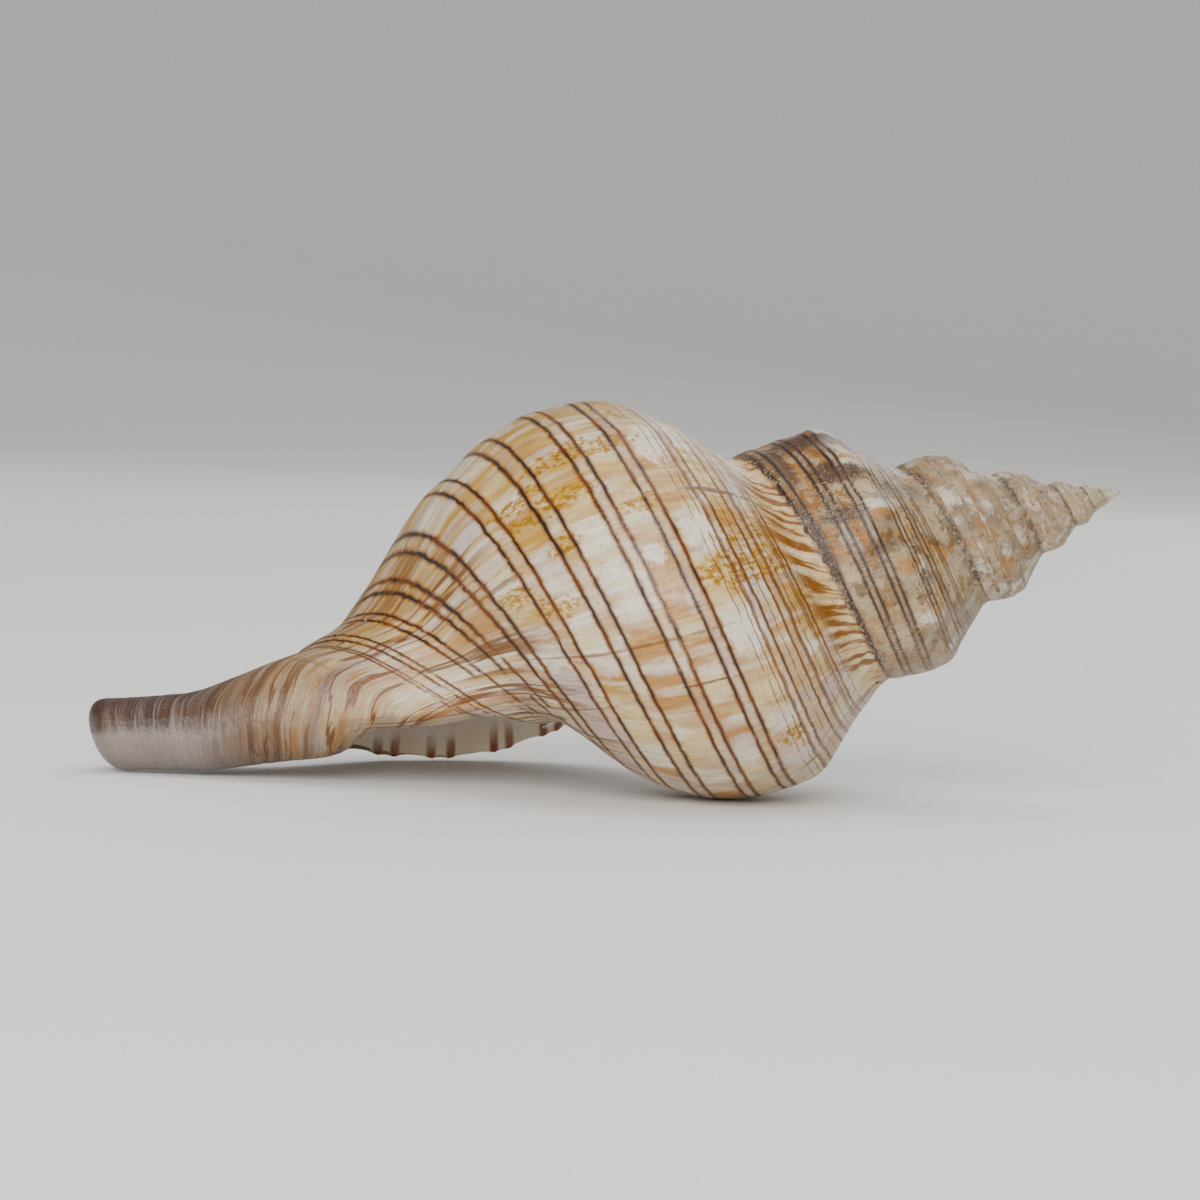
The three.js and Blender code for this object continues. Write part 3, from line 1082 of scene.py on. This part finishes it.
@dataclass
class SpiralLines:
    """The spiral lines of one material: dark cores in soft halos, in pairs."""

    core: Source = 0.0
    halo: Source = 0.0
    within: Source = 0.0

    def build(self, s: Site, band: Source, width: Source) -> None:
        """Draw every pair of lines, and number the spaces between them for the streaks.

        Args:
            s: The material's growth coordinates. Its cell is set here.
            band: Band that the lines follow.
            width: Width of the lines.
        """
        w = s.wiring
        for centre, gap, strength in LINE_PAIRS:
            pair = w.group("line_pair", Band=band, Centre=centre, Gap=gap, Width=width, Strength=strength)
            self.core = w.most(self.core, pair.outputs["Core"])
            self.halo = w.most(self.halo, pair.outputs["Halo"])
            if gap > WIDE_GAP:
                self.within = w.most(self.within, pair.outputs["Within"])
                for edge in (centre + gap / 2, centre - gap / 2):
                    s.cell = w.plus(s.cell, w.math("GREATER_THAN", band, edge))


@dataclass(frozen=True)
class OutsideFinish:
    """Cream shell with dark spiral lines in pairs, axial streaks, stains and a worn spire."""

    saturation: float = 1.18
    value: float = 0.86
    bump_depth: float = 0.00025
    cream: tuple = srgb(222, 202, 162)
    white: tuple = srgb(236, 227, 209)
    blush: tuple = srgb(198, 166, 134)
    tan: tuple = srgb(182, 138, 92)
    lilac: tuple = srgb(204, 188, 188)
    straw: tuple = srgb(214, 186, 126)
    gold: tuple = srgb(190, 148, 74)
    mustard: tuple = srgb(146, 100, 24)
    line_dark: tuple = srgb(26, 15, 11)
    line_orange: tuple = srgb(98, 50, 20)
    line_halo: tuple = srgb(138, 90, 50)
    line_halo_dark: tuple = srgb(86, 56, 36)
    fine_lines_per_band: float = 31.0
    pair_ground: tuple = srgb(204, 180, 156)
    amber: tuple = srgb(146, 98, 46)
    drab: tuple = srgb(120, 105, 80)
    worn_pale: tuple = srgb(180, 167, 141)
    worn_dark: tuple = srgb(98, 66, 38)
    smudge: tuple = srgb(58, 34, 16)
    spire_pale: tuple = srgb(206, 190, 162)
    spire_white: tuple = srgb(222, 211, 194)
    spire_tan: tuple = srgb(150, 112, 74)
    worn_grey: tuple = srgb(142, 128, 110)
    worn_beige: tuple = srgb(186, 167, 136)
    pair_dust: tuple = srgb(138, 120, 100)
    mauve: tuple = srgb(60, 44, 36)
    ash: tuple = srgb(100, 84, 74)
    pale_ash: tuple = srgb(150, 139, 134)
    umber: tuple = srgb(74, 44, 28)
    soot: tuple = srgb(62, 36, 26)
    hem_cream: tuple = srgb(218, 190, 142)
    flame: tuple = srgb(122, 72, 32)
    # dark brown: painted shadow along the suture, and darker flecks and specks on the older whorls
    shade_and_dirt: tuple = srgb(70, 54, 44)
    layer_pale: tuple = srgb(202, 184, 160)
    # painted shade for the gaps between the growth layers beside the aperture
    layer_gap_shade: tuple = srgb(92, 66, 50)
    growth_mark: tuple = srgb(104, 60, 30)
    growth_brown: tuple = srgb(104, 72, 48)
    bar_brown: tuple = srgb(160, 118, 76)
    base_brown: tuple = srgb(134, 112, 90)
    chalk: tuple = srgb(198, 186, 168)
    ground_streaks: tuple = (
        # colour, count in a turn, count down the whorl, seed, noise where bare and where full, share
        (white, 26.0, 1.6, 1.7, 0.46, 0.58, 1.0), (blush, 19.0, 1.4, 5.3, 0.48, 0.60, 0.95),
        (tan, 24.0, 1.8, 9.1, 0.50, 0.62, 0.95), (lilac, 17.0, 1.3, 23.4, 0.53, 0.64, 0.8),
        (straw, 70.0, 2.4, 14.4, 0.50, 0.64, 0.5), (white, 90.0, 2.0, 4.4, 0.54, 0.66, 0.5),
        (tan, 130.0, 2.6, 44.4, 0.54, 0.68, 0.32),
    )
    smoke_streaks: tuple = (
        (ash, 46.0, 0.5, 73.0, 0.42, 0.58, 1.0), (umber, 120.0, 1.0, 81.0, 0.48, 0.60, 0.7),
    )
    spire_streaks: tuple = (
        (spire_tan, 15.0, 2.0, 95.0, 0.44, 0.60, 0.75), (spire_white, 19.0, 2.4, 97.0, 0.50, 0.64, 0.75),
        (worn_grey, 80.0, 3.0, 99.0, 0.52, 0.64, 0.5),
    )
    spire_flecks: tuple = (
        # colour, count in a metre, noise where bare and where full, detail, share
        (worn_beige, 230.0, 0.42, 0.58, 4.0, 1.0), (tan, 330.0, 0.55, 0.62, 3.0, 0.45),
        (mauve, 610.0, 0.54, 0.63, 3.0, 0.6),
    )
    white_patches: tuple = (
        # age, band, reach along the growth, reach down the band, strength
        (-0.700, 0.45, 0.012, 0.07, 0.6), (-0.640, 0.45, 0.015, 0.09, 0.8), (-0.555, 0.46, 0.021, 0.10, 1.0),
        (-0.475, 0.46, 0.016, 0.08, 1.0), (-0.390, 0.46, 0.022, 0.08, 0.9), (-0.545, 1.22, 0.018, 0.09, 0.9),
        (-0.485, 0.665, 0.010, 0.05, 0.8), (-0.30, 0.86, 0.016, 0.06, 0.5),
        (-0.660, 0.665, 0.020, 0.05, 0.6), (-0.560, 1.04, 0.010, 0.05, 0.5),
    )
    mustard_patches: tuple = (
        (-0.485, 0.24, 0.045, 0.16, 0.7), (-0.508, 0.40, 0.016, 0.18, 1.0), (-0.660, 0.45, 0.012, 0.07, 0.9),
        (-0.420, 0.92, 0.012, 0.24, 0.9), (-0.385, 0.72, 0.013, 0.30, 0.9), (-0.335, 0.45, 0.022, 0.16, 0.9),
        (-0.500, 1.10, 0.013, 0.10, 0.9), (-0.480, 1.20, 0.013, 0.08, 0.9), (-0.350, 0.22, 0.060, 0.10, 0.6),
        (-0.26, 0.60, 0.020, 0.35, 0.7), (-0.445, 0.60, 0.010, 0.12, 0.8), (-0.455, 0.96, 0.010, 0.09, 0.9),
        (-0.515, 0.33, 0.010, 0.26, 0.9), (-0.402, 1.02, 0.010, 0.14, 0.9),
    )
    smudges: tuple = (
        # the same columns, on the last whorl but one
        (-1.33, 0.66, 0.030, 0.26, 0.95), (-1.41, 0.62, 0.020, 0.22, 0.95), (-1.47, 0.74, 0.012, 0.20, 0.8),
        (-1.52, 0.60, 0.010, 0.20, 0.5), (-1.37, 0.92, 0.060, 0.06, 0.8), (-1.50, 0.96, 0.060, 0.05, 0.8),
        (-1.62, 0.97, 0.060, 0.04, 0.7), (-1.44, 0.30, 0.020, 0.08, 0.5), (-1.58, 0.34, 0.012, 0.06, 0.4),
    )
    brown_marks: tuple = (
        (-0.547, 0.95, 0.0014, 0.50, 0.6), (-0.450, 1.40, 0.002, 0.20, 0.8), (-0.370, 1.45, 0.006, 0.05, 0.8),
        (-0.372, 1.67, 0.005, 0.04, 0.8), (-0.430, 1.58, 0.006, 0.08, 0.7), (-0.640, 1.45, 0.050, 0.05, 0.4),
        (-0.395, 1.90, 0.050, 0.02, 0.5), (-0.440, 0.30, 0.0025, 0.16, 0.9),
        (-0.4425, 0.11, 0.003, 0.05, 0.9), (-0.462, 1.22, 0.003, 0.10, 0.6),
        (-0.585, 0.70, 0.0012, 0.12, 0.8),
    )

    def ground(self, s: Site, paint: Paint, within: Source) -> None:
        """Soft blocks between the lines, with more gold near the lip and on the shoulder.

        Args:
            s: The material's growth coordinates.
            paint: The colour so far.
            within: The mask of the space inside the pairs of lines.
        """
        w = s.wiring
        paint.lay_all(s.streaks, self.ground_streaks)
        paint.lay(self.pair_ground, within, 0.4)
        near_lip = w.times(w.step(s.turn, -0.52, -0.40), w.fall(s.band, 1.5, 1.9))
        paint.lay(self.gold, s.streaks(85.0, 2.4, 31.0, 0.46, 0.60), near_lip, 0.7)
        shoulder = w.times(w.fall(s.band, 0.36, 0.46), w.step(s.band, 0.10, 0.16),
                           w.step(s.turn, -1.0, -0.8))
        paint.lay(self.gold, s.streaks(100.0, 5.0, 61.0, 0.50, 0.62), shoulder, 0.5)

    def older_whorls(self, s: Site, paint: Paint, within: Source) -> None:
        """Amber and drab patches, with grey inside the pairs, and white or tan knobs.

        Args:
            s: The material's growth coordinates.
            paint: The colour so far.
            within: The mask of the space inside the pairs of lines.
        """
        w = s.wiring
        drab = Paint(s, self.drab)
        drab.lay(self.worn_beige, s.streaks(15.0, 1.5, 77.0, 0.42, 0.60))
        paint.lay(drab.colour, s.old, 0.8)
        below = w.times(w.step(s.band, 0.50, 0.62), w.step(s.turn, -1.62, -1.42, 0.5, 0.95))
        paint.lay(self.amber, s.old, below, s.streaks(14.0, 1.2, 51.0, 0.42, 0.56))
        above = w.step(s.band, 0.50, 0.40)
        paint.lay(self.tan, s.old, above, s.streaks(26.0, 6.0, 57.0, 0.50, 0.60), 0.8)
        paint.lay(self.pair_dust, within, s.old, 0.6)
        mosaic = s.field(46.0, 11.0, w.times(s.cell, 2.3), rough=0.6)
        paint.lay(self.worn_pale, w.step(mosaic, 0.55, 0.60), s.old, 0.65)
        paint.lay(self.worn_dark, w.step(mosaic, 0.44, 0.39), s.old, 0.6)
        paint.lay(self.smudge, s.patches(w.times(s.ragged, 0.5), self.smudges))
        phase = w.plus(s.turn, GrowthLaw.knob_phase)
        wave = w.math("COSINE", w.times(phase, FULL_TURN * GrowthLaw.knobs_per_turn))
        row = w.fall(w.off(s.place, 0.45), 0.06, 0.15)
        knob = Paint(s, self.white)
        knob.lay(self.tan, s.streaks(9.0, 0.5, 91.0, 0.46, 0.52))
        crown = w.step(w.plus(wave, w.times(s.ragged, 0.22)), 0.35, 0.9)
        paint.lay(knob.colour, crown, row, s.old, 0.85)

    def stains(self, s: Site, paint: Paint) -> None:
        """White patches, clusters of ragged mustard spots, and brown marks.

        Args:
            s: The material's growth coordinates.
            paint: The colour so far.
        """
        w = s.wiring
        paint.lay(self.white, s.patches(s.ragged, self.white_patches))
        crowd = w.times(s.patches(0.0, self.mustard_patches), 0.20)
        spots = w.plus(s.field(240.0, 34.0, detail=4.0, rough=0.65), crowd)
        paint.lay(self.gold, w.step(spots, 0.58, 0.68), 0.6)
        paint.lay(self.mustard, w.step(spots, 0.67, 0.75), 0.75)
        paint.lay(self.growth_mark, s.patches(s.ragged, self.brown_marks))

    def hem(self, s: Site, paint: Paint) -> None:
        """The band under the suture, with slanting brown flames and a painted shadow along the suture.

        Args:
            s: The material's growth coordinates.
            paint: The colour so far.
        """
        w = s.wiring
        slant = w.plus(s.turn, w.times(s.place, -0.15))
        flames = w.noise(w.combine(w.times(slant, 104.0), w.times(s.place, 4.0), 3.0), 1.0, 2.0)
        newest = w.step(s.turn, -1.16, -1.02)
        hem = w.fall(w.plus(s.place, w.times(s.ragged, 0.012)), 0.10, 0.16)
        paint.lay(self.hem_cream, hem, newest, 0.75)
        reach = w.times(w.fall(s.place, 0.10, 0.20), newest)
        paint.lay(self.flame, reach, w.step(flames, 0.47, 0.58), 0.9)
        paint.lay(self.white, reach, w.step(flames, 0.40, 0.34), 0.6)
        # painted shadow in the suture's crease, under the new whorl's edge and on the older whorl beside it
        under = w.times(w.fall(s.place, 0.0, 0.02), w.step(s.turn, -0.95, -1.0, 0.6, 0.85))
        over = w.times(w.step(s.place, 0.975, 1.0), w.step(s.turn, -1.0, -1.02))
        paint.lay(self.shade_and_dirt, w.most(under, over), w.step(s.turn, -4.7, -4.2))

    def mouth_layers(self, s: Site, paint: Paint) -> Source:
        """Layers of growth beside the aperture, with painted shade in the gaps between them.

        Args:
            s: The material's growth coordinates.
            paint: The colour so far.

        Returns:
            The mask of the gaps between the layers.
        """
        w = s.wiring
        beside = w.times(w.step(s.turn, -0.54, -0.63), w.step(s.turn, -1.0, -0.96),
                         w.step(s.drop, 0.50, 0.56), w.fall(s.drop, 0.73, 0.78))
        uneven = w.noise(w.combine(w.times(s.turn, 40.0), w.times(s.drop, 9.0)), 1.0, 2.0)
        across = w.plus(w.times(s.turn, 44.0), w.times(s.drop, 4.4), w.times(uneven, 1.6))
        layers = w.step(w.math("COSINE", w.times(across, FULL_TURN)), 0.70, 0.95)
        layers = w.times(layers, beside, w.step(uneven, 0.32, 0.44))
        paint.lay(self.layer_pale, beside, 0.35)
        # painted shade in the gaps between the layers
        paint.lay(self.layer_gap_shade, layers, 0.85)
        return layers

    def fine_lines(self, s: Site, paint: Paint, band: Source) -> None:
        """Hair lines between the pairs on the shoulder.

        Args:
            s: The material's growth coordinates.
            paint: The colour so far.
            band: Band that the lines follow.
        """
        w = s.wiring
        wave = w.math("COSINE", w.times(band, FULL_TURN * self.fine_lines_per_band))
        uneven = w.step(s.field(50.0, 40.0, 8.0), 0.34, 0.48)
        shoulder = w.times(w.step(s.band, 0.50, 0.44), w.step(s.place, 0.10, 0.16),
                           w.step(s.turn, -3.6, -2.6))
        paint.lay(self.line_halo_dark, w.step(wave, 0.78, 0.98), uneven, shoulder, 0.85)

    def base(self, s: Site, paint: Paint) -> None:
        """Brown growth streaks and thin growth marks on the base.

        Args:
            s: The material's growth coordinates.
            paint: The colour so far.
        """
        w = s.wiring
        paint.lay(self.base_brown, w.step(s.drop, 0.68, 0.82), 0.72)
        bars = s.streaks(34.0, 0.9, 87.0, 0.56, 0.63)
        paint.lay(self.bar_brown, w.step(s.band, 1.12, 1.35), bars, 0.6)
        bars = s.streaks(15.0, 0.5, 89.0, 0.585, 0.61)
        paint.lay(self.growth_mark, w.step(s.band, 1.05, 1.30), bars, 0.55)
        ages = w.group("streaks", Age=s.age, Band=s.band, Across=15.0, Along=0.45, Seed=85.0)
        marks = w.fall(w.off(ages.outputs["Value"], 0.5), 0.006, 0.020)
        paint.lay(self.growth_mark, marks, w.step(s.band, 1.12, 1.32), 0.85)
        growth = s.streaks(48.0, 0.6, 71.0, 0.48, 0.60)
        paint.lay(self.growth_brown, w.step(s.drop, 0.64, 0.82), growth, 0.85)

    def canal(self, s: Site, paint: Paint) -> None:
        """Smoky rings on the canal, pale on its near side, with a dark end.

        Args:
            s: The material's growth coordinates.
            paint: The colour so far.
        """
        w = s.wiring
        smoke = Paint(s, self.mauve)
        smoke.lay_all(s.streaks, self.smoke_streaks)
        smoke.lay(self.umber, s.flecks(150.0, 0.50, 0.60), 0.6)
        edge = w.plus(s.turn, w.times(s.ragged, 0.014))
        smoke.lay(self.pale_ash, w.step(edge, -0.50, -0.56), w.step(s.drop, 0.84, 0.92), 0.75)
        smoke.lay(self.pale_ash, s.streaks(210.0, 1.0, 83.0, 0.56, 0.64), 0.5)
        smoky = w.step(w.plus(s.drop, w.times(s.ragged, 0.006)), 0.80, 0.90)
        paint.lay(smoke.colour, smoky, 0.95)
        top_side = w.times(w.step(s.turn, -0.46, -0.40), w.step(s.turn, -0.1, -0.2))
        paint.lay(self.soot, top_side, w.step(s.drop, 0.88, 0.97), 0.8)

    def draw_lines(self, s: Site, paint: Paint, lines: SpiralLines) -> Source:
        """Lay the lines over the ground.

        Args:
            s: The material's growth coordinates.
            paint: The colour so far.
            lines: The lines.

        Returns:
            The mask of the lines' cores as they are drawn.
        """
        w = s.wiring
        broken = w.step(s.field(60.0, 30.0, 7.0, detail=3.0, rough=0.6), 0.30, 0.44, 0.62, 1.0)
        dashes = w.step(s.field(30.0, 24.0, 2.0), 0.43, 0.51, 0.0, 0.85)
        whole = w.most(dashes, w.step(s.turn, -0.53, -0.43), w.fall(s.band, 1.31, 1.36))
        fade = w.times(broken, w.step(s.turn, -4.2, -2.2), w.fall(s.drop, 0.80, 0.88), whole)
        core = w.times(lines.core, fade)
        paint.lay(self.line_halo, lines.halo, fade, w.rest(w.times(s.old, 0.6)), 0.72)
        rust = w.times(w.step(s.field(22.0, 26.0, 5.0), 0.46, 0.60), w.rest(w.times(s.old, 0.9)))
        ink = w.mix(rust, self.line_dark, self.line_orange)
        paint.lay(ink, core, w.step(s.band, 0.30, 0.54, 0.80, 0.96))
        return core

    def spire(self, s: Site, paint: Paint) -> None:
        """Worn, mottled older whorls, white at the apex.

        Args:
            s: The material's growth coordinates.
            paint: The colour so far.
        """
        w = s.wiring
        dull = Paint(s, self.worn_grey)
        dull.lay_all(s.flecks, self.spire_flecks)
        aged = w.step(s.turn, -1.5, -2.1)
        paint.lay(dull.colour, aged, 0.6)
        paint.lay_all(s.streaks, self.spire_streaks, aged)
        paint.lay(self.spire_pale, w.step(s.turn, -2.9, -4.2), 0.35)
        paint.lay(self.spire_pale, w.step(s.turn, -5.05, -5.5), 0.5)
        paint.lay(self.white, w.step(s.drop, 0.019, 0.010))

    def weathering(self, s: Site, paint: Paint, core: Source) -> Source:
        """Darker flecks and chalky crust along the older sutures, and a few chips on the lines.

        Args:
            s: The material's growth coordinates.
            paint: The colour so far.
            core: The mask of the lines' cores.

        Returns:
            The mask of the crust.
        """
        w = s.wiring
        seam = w.most(w.step(s.place, 0.90, 1.0), w.fall(s.place, 0.0, 0.10))
        seam = w.times(seam, w.step(s.turn, -0.9, -1.2))
        # darker flecks near the older sutures
        paint.lay(self.shade_and_dirt, seam, s.flecks(380.0, 0.42, 0.56, 4.0), 0.8)
        crust = w.most(seam, w.times(s.old, s.flecks(160.0, 0.50, 0.60, 2.0), 0.8))
        crust = w.times(s.flecks(2400.0, 0.54, 0.62), crust)
        paint.lay(self.chalk, crust, 0.55)
        paint.lay(self.shade_and_dirt, s.flecks(1300.0, 0.40, 0.36), s.old, 0.5)
        paint.lay(self.white, s.flecks(900.0, 0.74, 0.77, 2.0), core, 0.8)
        return crust

    def line_width(self, s: Site) -> Source:
        """Width of the spiral lines, broader on the older whorls and finer on the shoulder.

        Args:
            s: The material's growth coordinates.

        Returns:
            The width, in whorl heights.
        """
        w = s.wiring
        swell = w.step(s.field(90.0, 9.0, 4.0), 0.3, 0.7, 0.8, 1.15)
        older = w.step(s.turn, -0.85, -1.2, 0.0155, 0.029)
        lower, upper = w.step(s.band, 0.95, 1.2, 1.0, 0.78), w.step(s.band, 0.42, 0.50, 0.55, 1.0)
        return w.times(older, lower, swell, upper)

    def build(self, material: bpy.types.Material) -> None:
        """Wire the finish into a material.

        Args:
            material: The material of the outside.
        """
        material.use_nodes = True
        w = Wiring(material.node_tree)
        s = Site(w)
        wander = w.times(w.plus(s.field(60.0, 5.0, detail=3.0, rough=0.6), -0.5), 0.018)
        shift = w.times(s.old, w.step(s.band, 0.40, 0.55, -0.012, -0.035))
        band = w.plus(s.band, wander, shift)
        lines = SpiralLines()
        lines.build(s, band, self.line_width(s))

        paint = Paint(s, self.cream)
        self.ground(s, paint, lines.within)
        self.older_whorls(s, paint, lines.within)
        self.stains(s, paint)
        self.hem(s, paint)
        layers = self.mouth_layers(s, paint)
        self.fine_lines(s, paint, band)
        self.base(s, paint)
        self.canal(s, paint)
        core = self.draw_lines(s, paint, lines)
        self.spire(s, paint)
        crust = self.weathering(s, paint, core)

        fine = s.field(330.0, 4.0, w.times(s.cell, 1.3), detail=3.0, rough=0.6)
        shade = w.step(fine, 0.28, 0.72, 0.87, 1.04)
        colour = w.mix(1.0, paint.colour, w.combine(shade, shade, shade), "MULTIPLY")
        grade = {"Color": colour, "Saturation": self.saturation, "Value": self.value}
        colour = w.add("ShaderNodeHueSaturation", grade).outputs[0]

        weather = w.times(w.step(s.turn, -1.3, -2.2), w.noise(s.body, 500.0, 4.0, 0.6), 1.8)
        height = w.plus(w.times(fine, 0.7), w.times(crust, 0.6), w.times(layers, -1.2),
                        w.times(w.noise(s.grain, 0.35, 4.0, 0.6), 0.9), weather)
        bump = w.add("ShaderNodeBump", {"Height": height, "Strength": 0.7, "Distance": self.bump_depth})
        gloss = w.step(w.noise(s.grain, 0.5, 3.0), 0.3, 0.7, 0.27, 0.40)
        rough = w.plus(gloss, w.times(weather, 0.14), w.times(crust, 0.3))
        w.finish(Base_Color=colour, Roughness=rough, Normal=bump.outputs[0])


@dataclass(frozen=True)
class LiningFinish:
    """Smooth porcelain-like lining, with short brown streaks at the edge of the lip."""

    porcelain: tuple = srgb(250, 240, 230)
    blush: tuple = srgb(234, 214, 192)
    lip_cream: tuple = srgb(234, 216, 184)
    streak: tuple = srgb(140, 78, 40)
    streak_width: float = 0.017
    streak_start: float = -0.021
    streak_end: float = -0.003
    bump_depth: float = 0.0004

    def build(self, material: bpy.types.Material) -> None:
        """Wire the finish into a material.

        Args:
            material: The material of the lining.
        """
        material.use_nodes = True
        w = Wiring(material.node_tree)
        s = Site(w)
        lines = SpiralLines()
        lines.build(s, s.band, self.streak_width)
        paint = Paint(s, self.porcelain)
        paint.lay(self.blush, w.step(w.noise(s.grain, 0.12, 3.0), 0.42, 0.62))
        reach = w.plus(s.turn, w.times(w.plus(w.noise(s.grain, 0.5, 2.0), -0.5), 0.014))
        outer = w.rest(s.pillar)
        paint.lay(self.lip_cream, w.step(s.turn, -0.030, -0.006), outer, 0.7)
        edge = w.step(reach, self.streak_start, self.streak_end)
        paint.lay(self.streak, edge, outer, lines.halo, 0.95)
        relief = {"Height": w.noise(s.grain, 0.25, 3.0), "Strength": 0.3, "Distance": self.bump_depth}
        bump = w.add("ShaderNodeBump", relief)
        rough = w.step(w.noise(s.grain, 0.4, 3.0), 0.3, 0.7, 0.16, 0.28)
        w.finish(Base_Color=paint.colour, Roughness=rough, Normal=bump.outputs[0])


@dataclass(frozen=True)
class Studio:
    """The pale floor, the soft lights and the camera."""

    camera_place: tuple = (-24.904, -454.829, 47.187)
    camera_aim: tuple = (-0.884, -3.143, 21.655)
    camera_roll: float = 2.816
    lens: float = 120.0
    clip_start: float = 0.01
    floor_radius: float = 1.3
    floor_corners: int = 96
    bowl_curve: float = 0.9
    bowl_steps: int = 8
    bowl_tilt: float = 50.0
    floor_sharp_angle: float = 40.0
    floor_colour: tuple = (0.86, 0.86, 0.85, 1)
    floor_roughness: float = 0.85
    sky_colour: tuple = (1, 1, 1, 1)
    sky_strength: float = 0.34
    lights: tuple = (
        # name, place, aim, size and power
        ("front_light", (-0.25, -1.0, 0.60), (0, 0, 0.02), 0.7, 11.0),
        ("low_light", (-0.20, -0.9, 0.16), (-0.02, 0, 0.01), 0.5, 4.5),
        ("top_light", (0.2, 0.1, 1.2), (0, 0, 0), 1.0, 7.0),
        ("back_light", (0.5, 1.0, 0.7), (0, 0, 0.02), 0.9, 5.0),
    )

    def build_camera(self) -> None:
        """Set the camera at the photograph's viewing angle."""
        pick()
        place, aim = Vector(self.camera_place) * MM, Vector(self.camera_aim) * MM
        turn = (aim - place).to_track_quat("-Z", "Y").to_matrix().to_4x4()
        roll = Matrix.Rotation(math.radians(self.camera_roll), 4, "Z")
        bpy.ops.object.camera_add(location=place)
        camera = bpy.context.object
        camera.matrix_world = Matrix.Translation(place) @ turn @ roll
        camera.data.lens = self.lens
        camera.data.clip_start = self.clip_start
        bpy.context.scene.camera = camera

    def build_floor(self) -> None:
        """Lay a pale matt floor that rises into an open bowl far behind the shell on every side."""
        pick()
        bpy.ops.mesh.primitive_circle_add(vertices=self.floor_corners, radius=self.floor_radius,
                                          fill_type="NGON")
        floor = bpy.context.object
        floor.name = "floor"
        edit(floor)
        bpy.ops.mesh.select_non_manifold()
        reach, height = self.floor_radius, 0.0
        for step in range(1, self.bowl_steps + 1):
            tilt = math.radians(self.bowl_tilt) * step / self.bowl_steps
            wider = self.floor_radius + self.bowl_curve * math.sin(tilt)
            higher = self.bowl_curve * (1 - math.cos(tilt))
            bpy.ops.mesh.extrude_edges_move(TRANSFORM_OT_translate={"value": (0, 0, higher - height)})
            bpy.ops.transform.resize(value=(wider / reach, wider / reach, 1))
            reach, height = wider, higher
        bpy.ops.mesh.select_all(action="SELECT")
        bpy.ops.mesh.normals_make_consistent(inside=True)
        bpy.ops.object.mode_set(mode="OBJECT")
        bpy.ops.object.shade_smooth_by_angle(angle=math.radians(self.floor_sharp_angle))
        material = bpy.data.materials.new("pale_floor")
        material.use_nodes = True
        Wiring(material.node_tree).finish(Base_Color=self.floor_colour, Roughness=self.floor_roughness)
        floor.data.materials.append(material)

    def build_lights(self) -> None:
        """Hang large soft lights over and in front of the shell."""
        for name, place, aim, size, power in self.lights:
            pick()
            bpy.ops.object.light_add(type="AREA", location=place)
            light = bpy.context.object
            light.name = name
            light.data.size = size
            light.data.energy = power
            light.rotation_euler = (Vector(aim) - Vector(place)).to_track_quat("-Z", "Y").to_euler()
        world = bpy.context.scene.world or bpy.data.worlds.new("studio")
        bpy.context.scene.world = world
        world.use_nodes = True
        sky = world.node_tree.nodes["Background"]
        sky.inputs["Color"].default_value = self.sky_colour
        sky.inputs["Strength"].default_value = self.sky_strength


def main() -> None:
    """Build the studio and the shell, and report each piece."""
    logging.basicConfig(level=logging.INFO, format="%(name)s: %(message)s")
    studio = Studio()
    studio.build_camera()
    studio.build_floor()
    studio.build_lights()
    log.info("studio is ready")
    for build_effect in (build_growth_reader, build_line_pair, build_stain, build_streaks):
        build_effect()
    shell = ShellSurface().build()
    OutsideFinish().build(bpy.data.materials[Side.OUTSIDE.name])
    LiningFinish().build(bpy.data.materials[Side.LINING.name])
    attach(shell, "root")
    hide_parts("shell")
    shell.data.calc_loop_triangles()
    log.info("%s has %d triangles", shell.name, len(shell.data.loop_triangles))


if __name__ == "__main__":
    main()
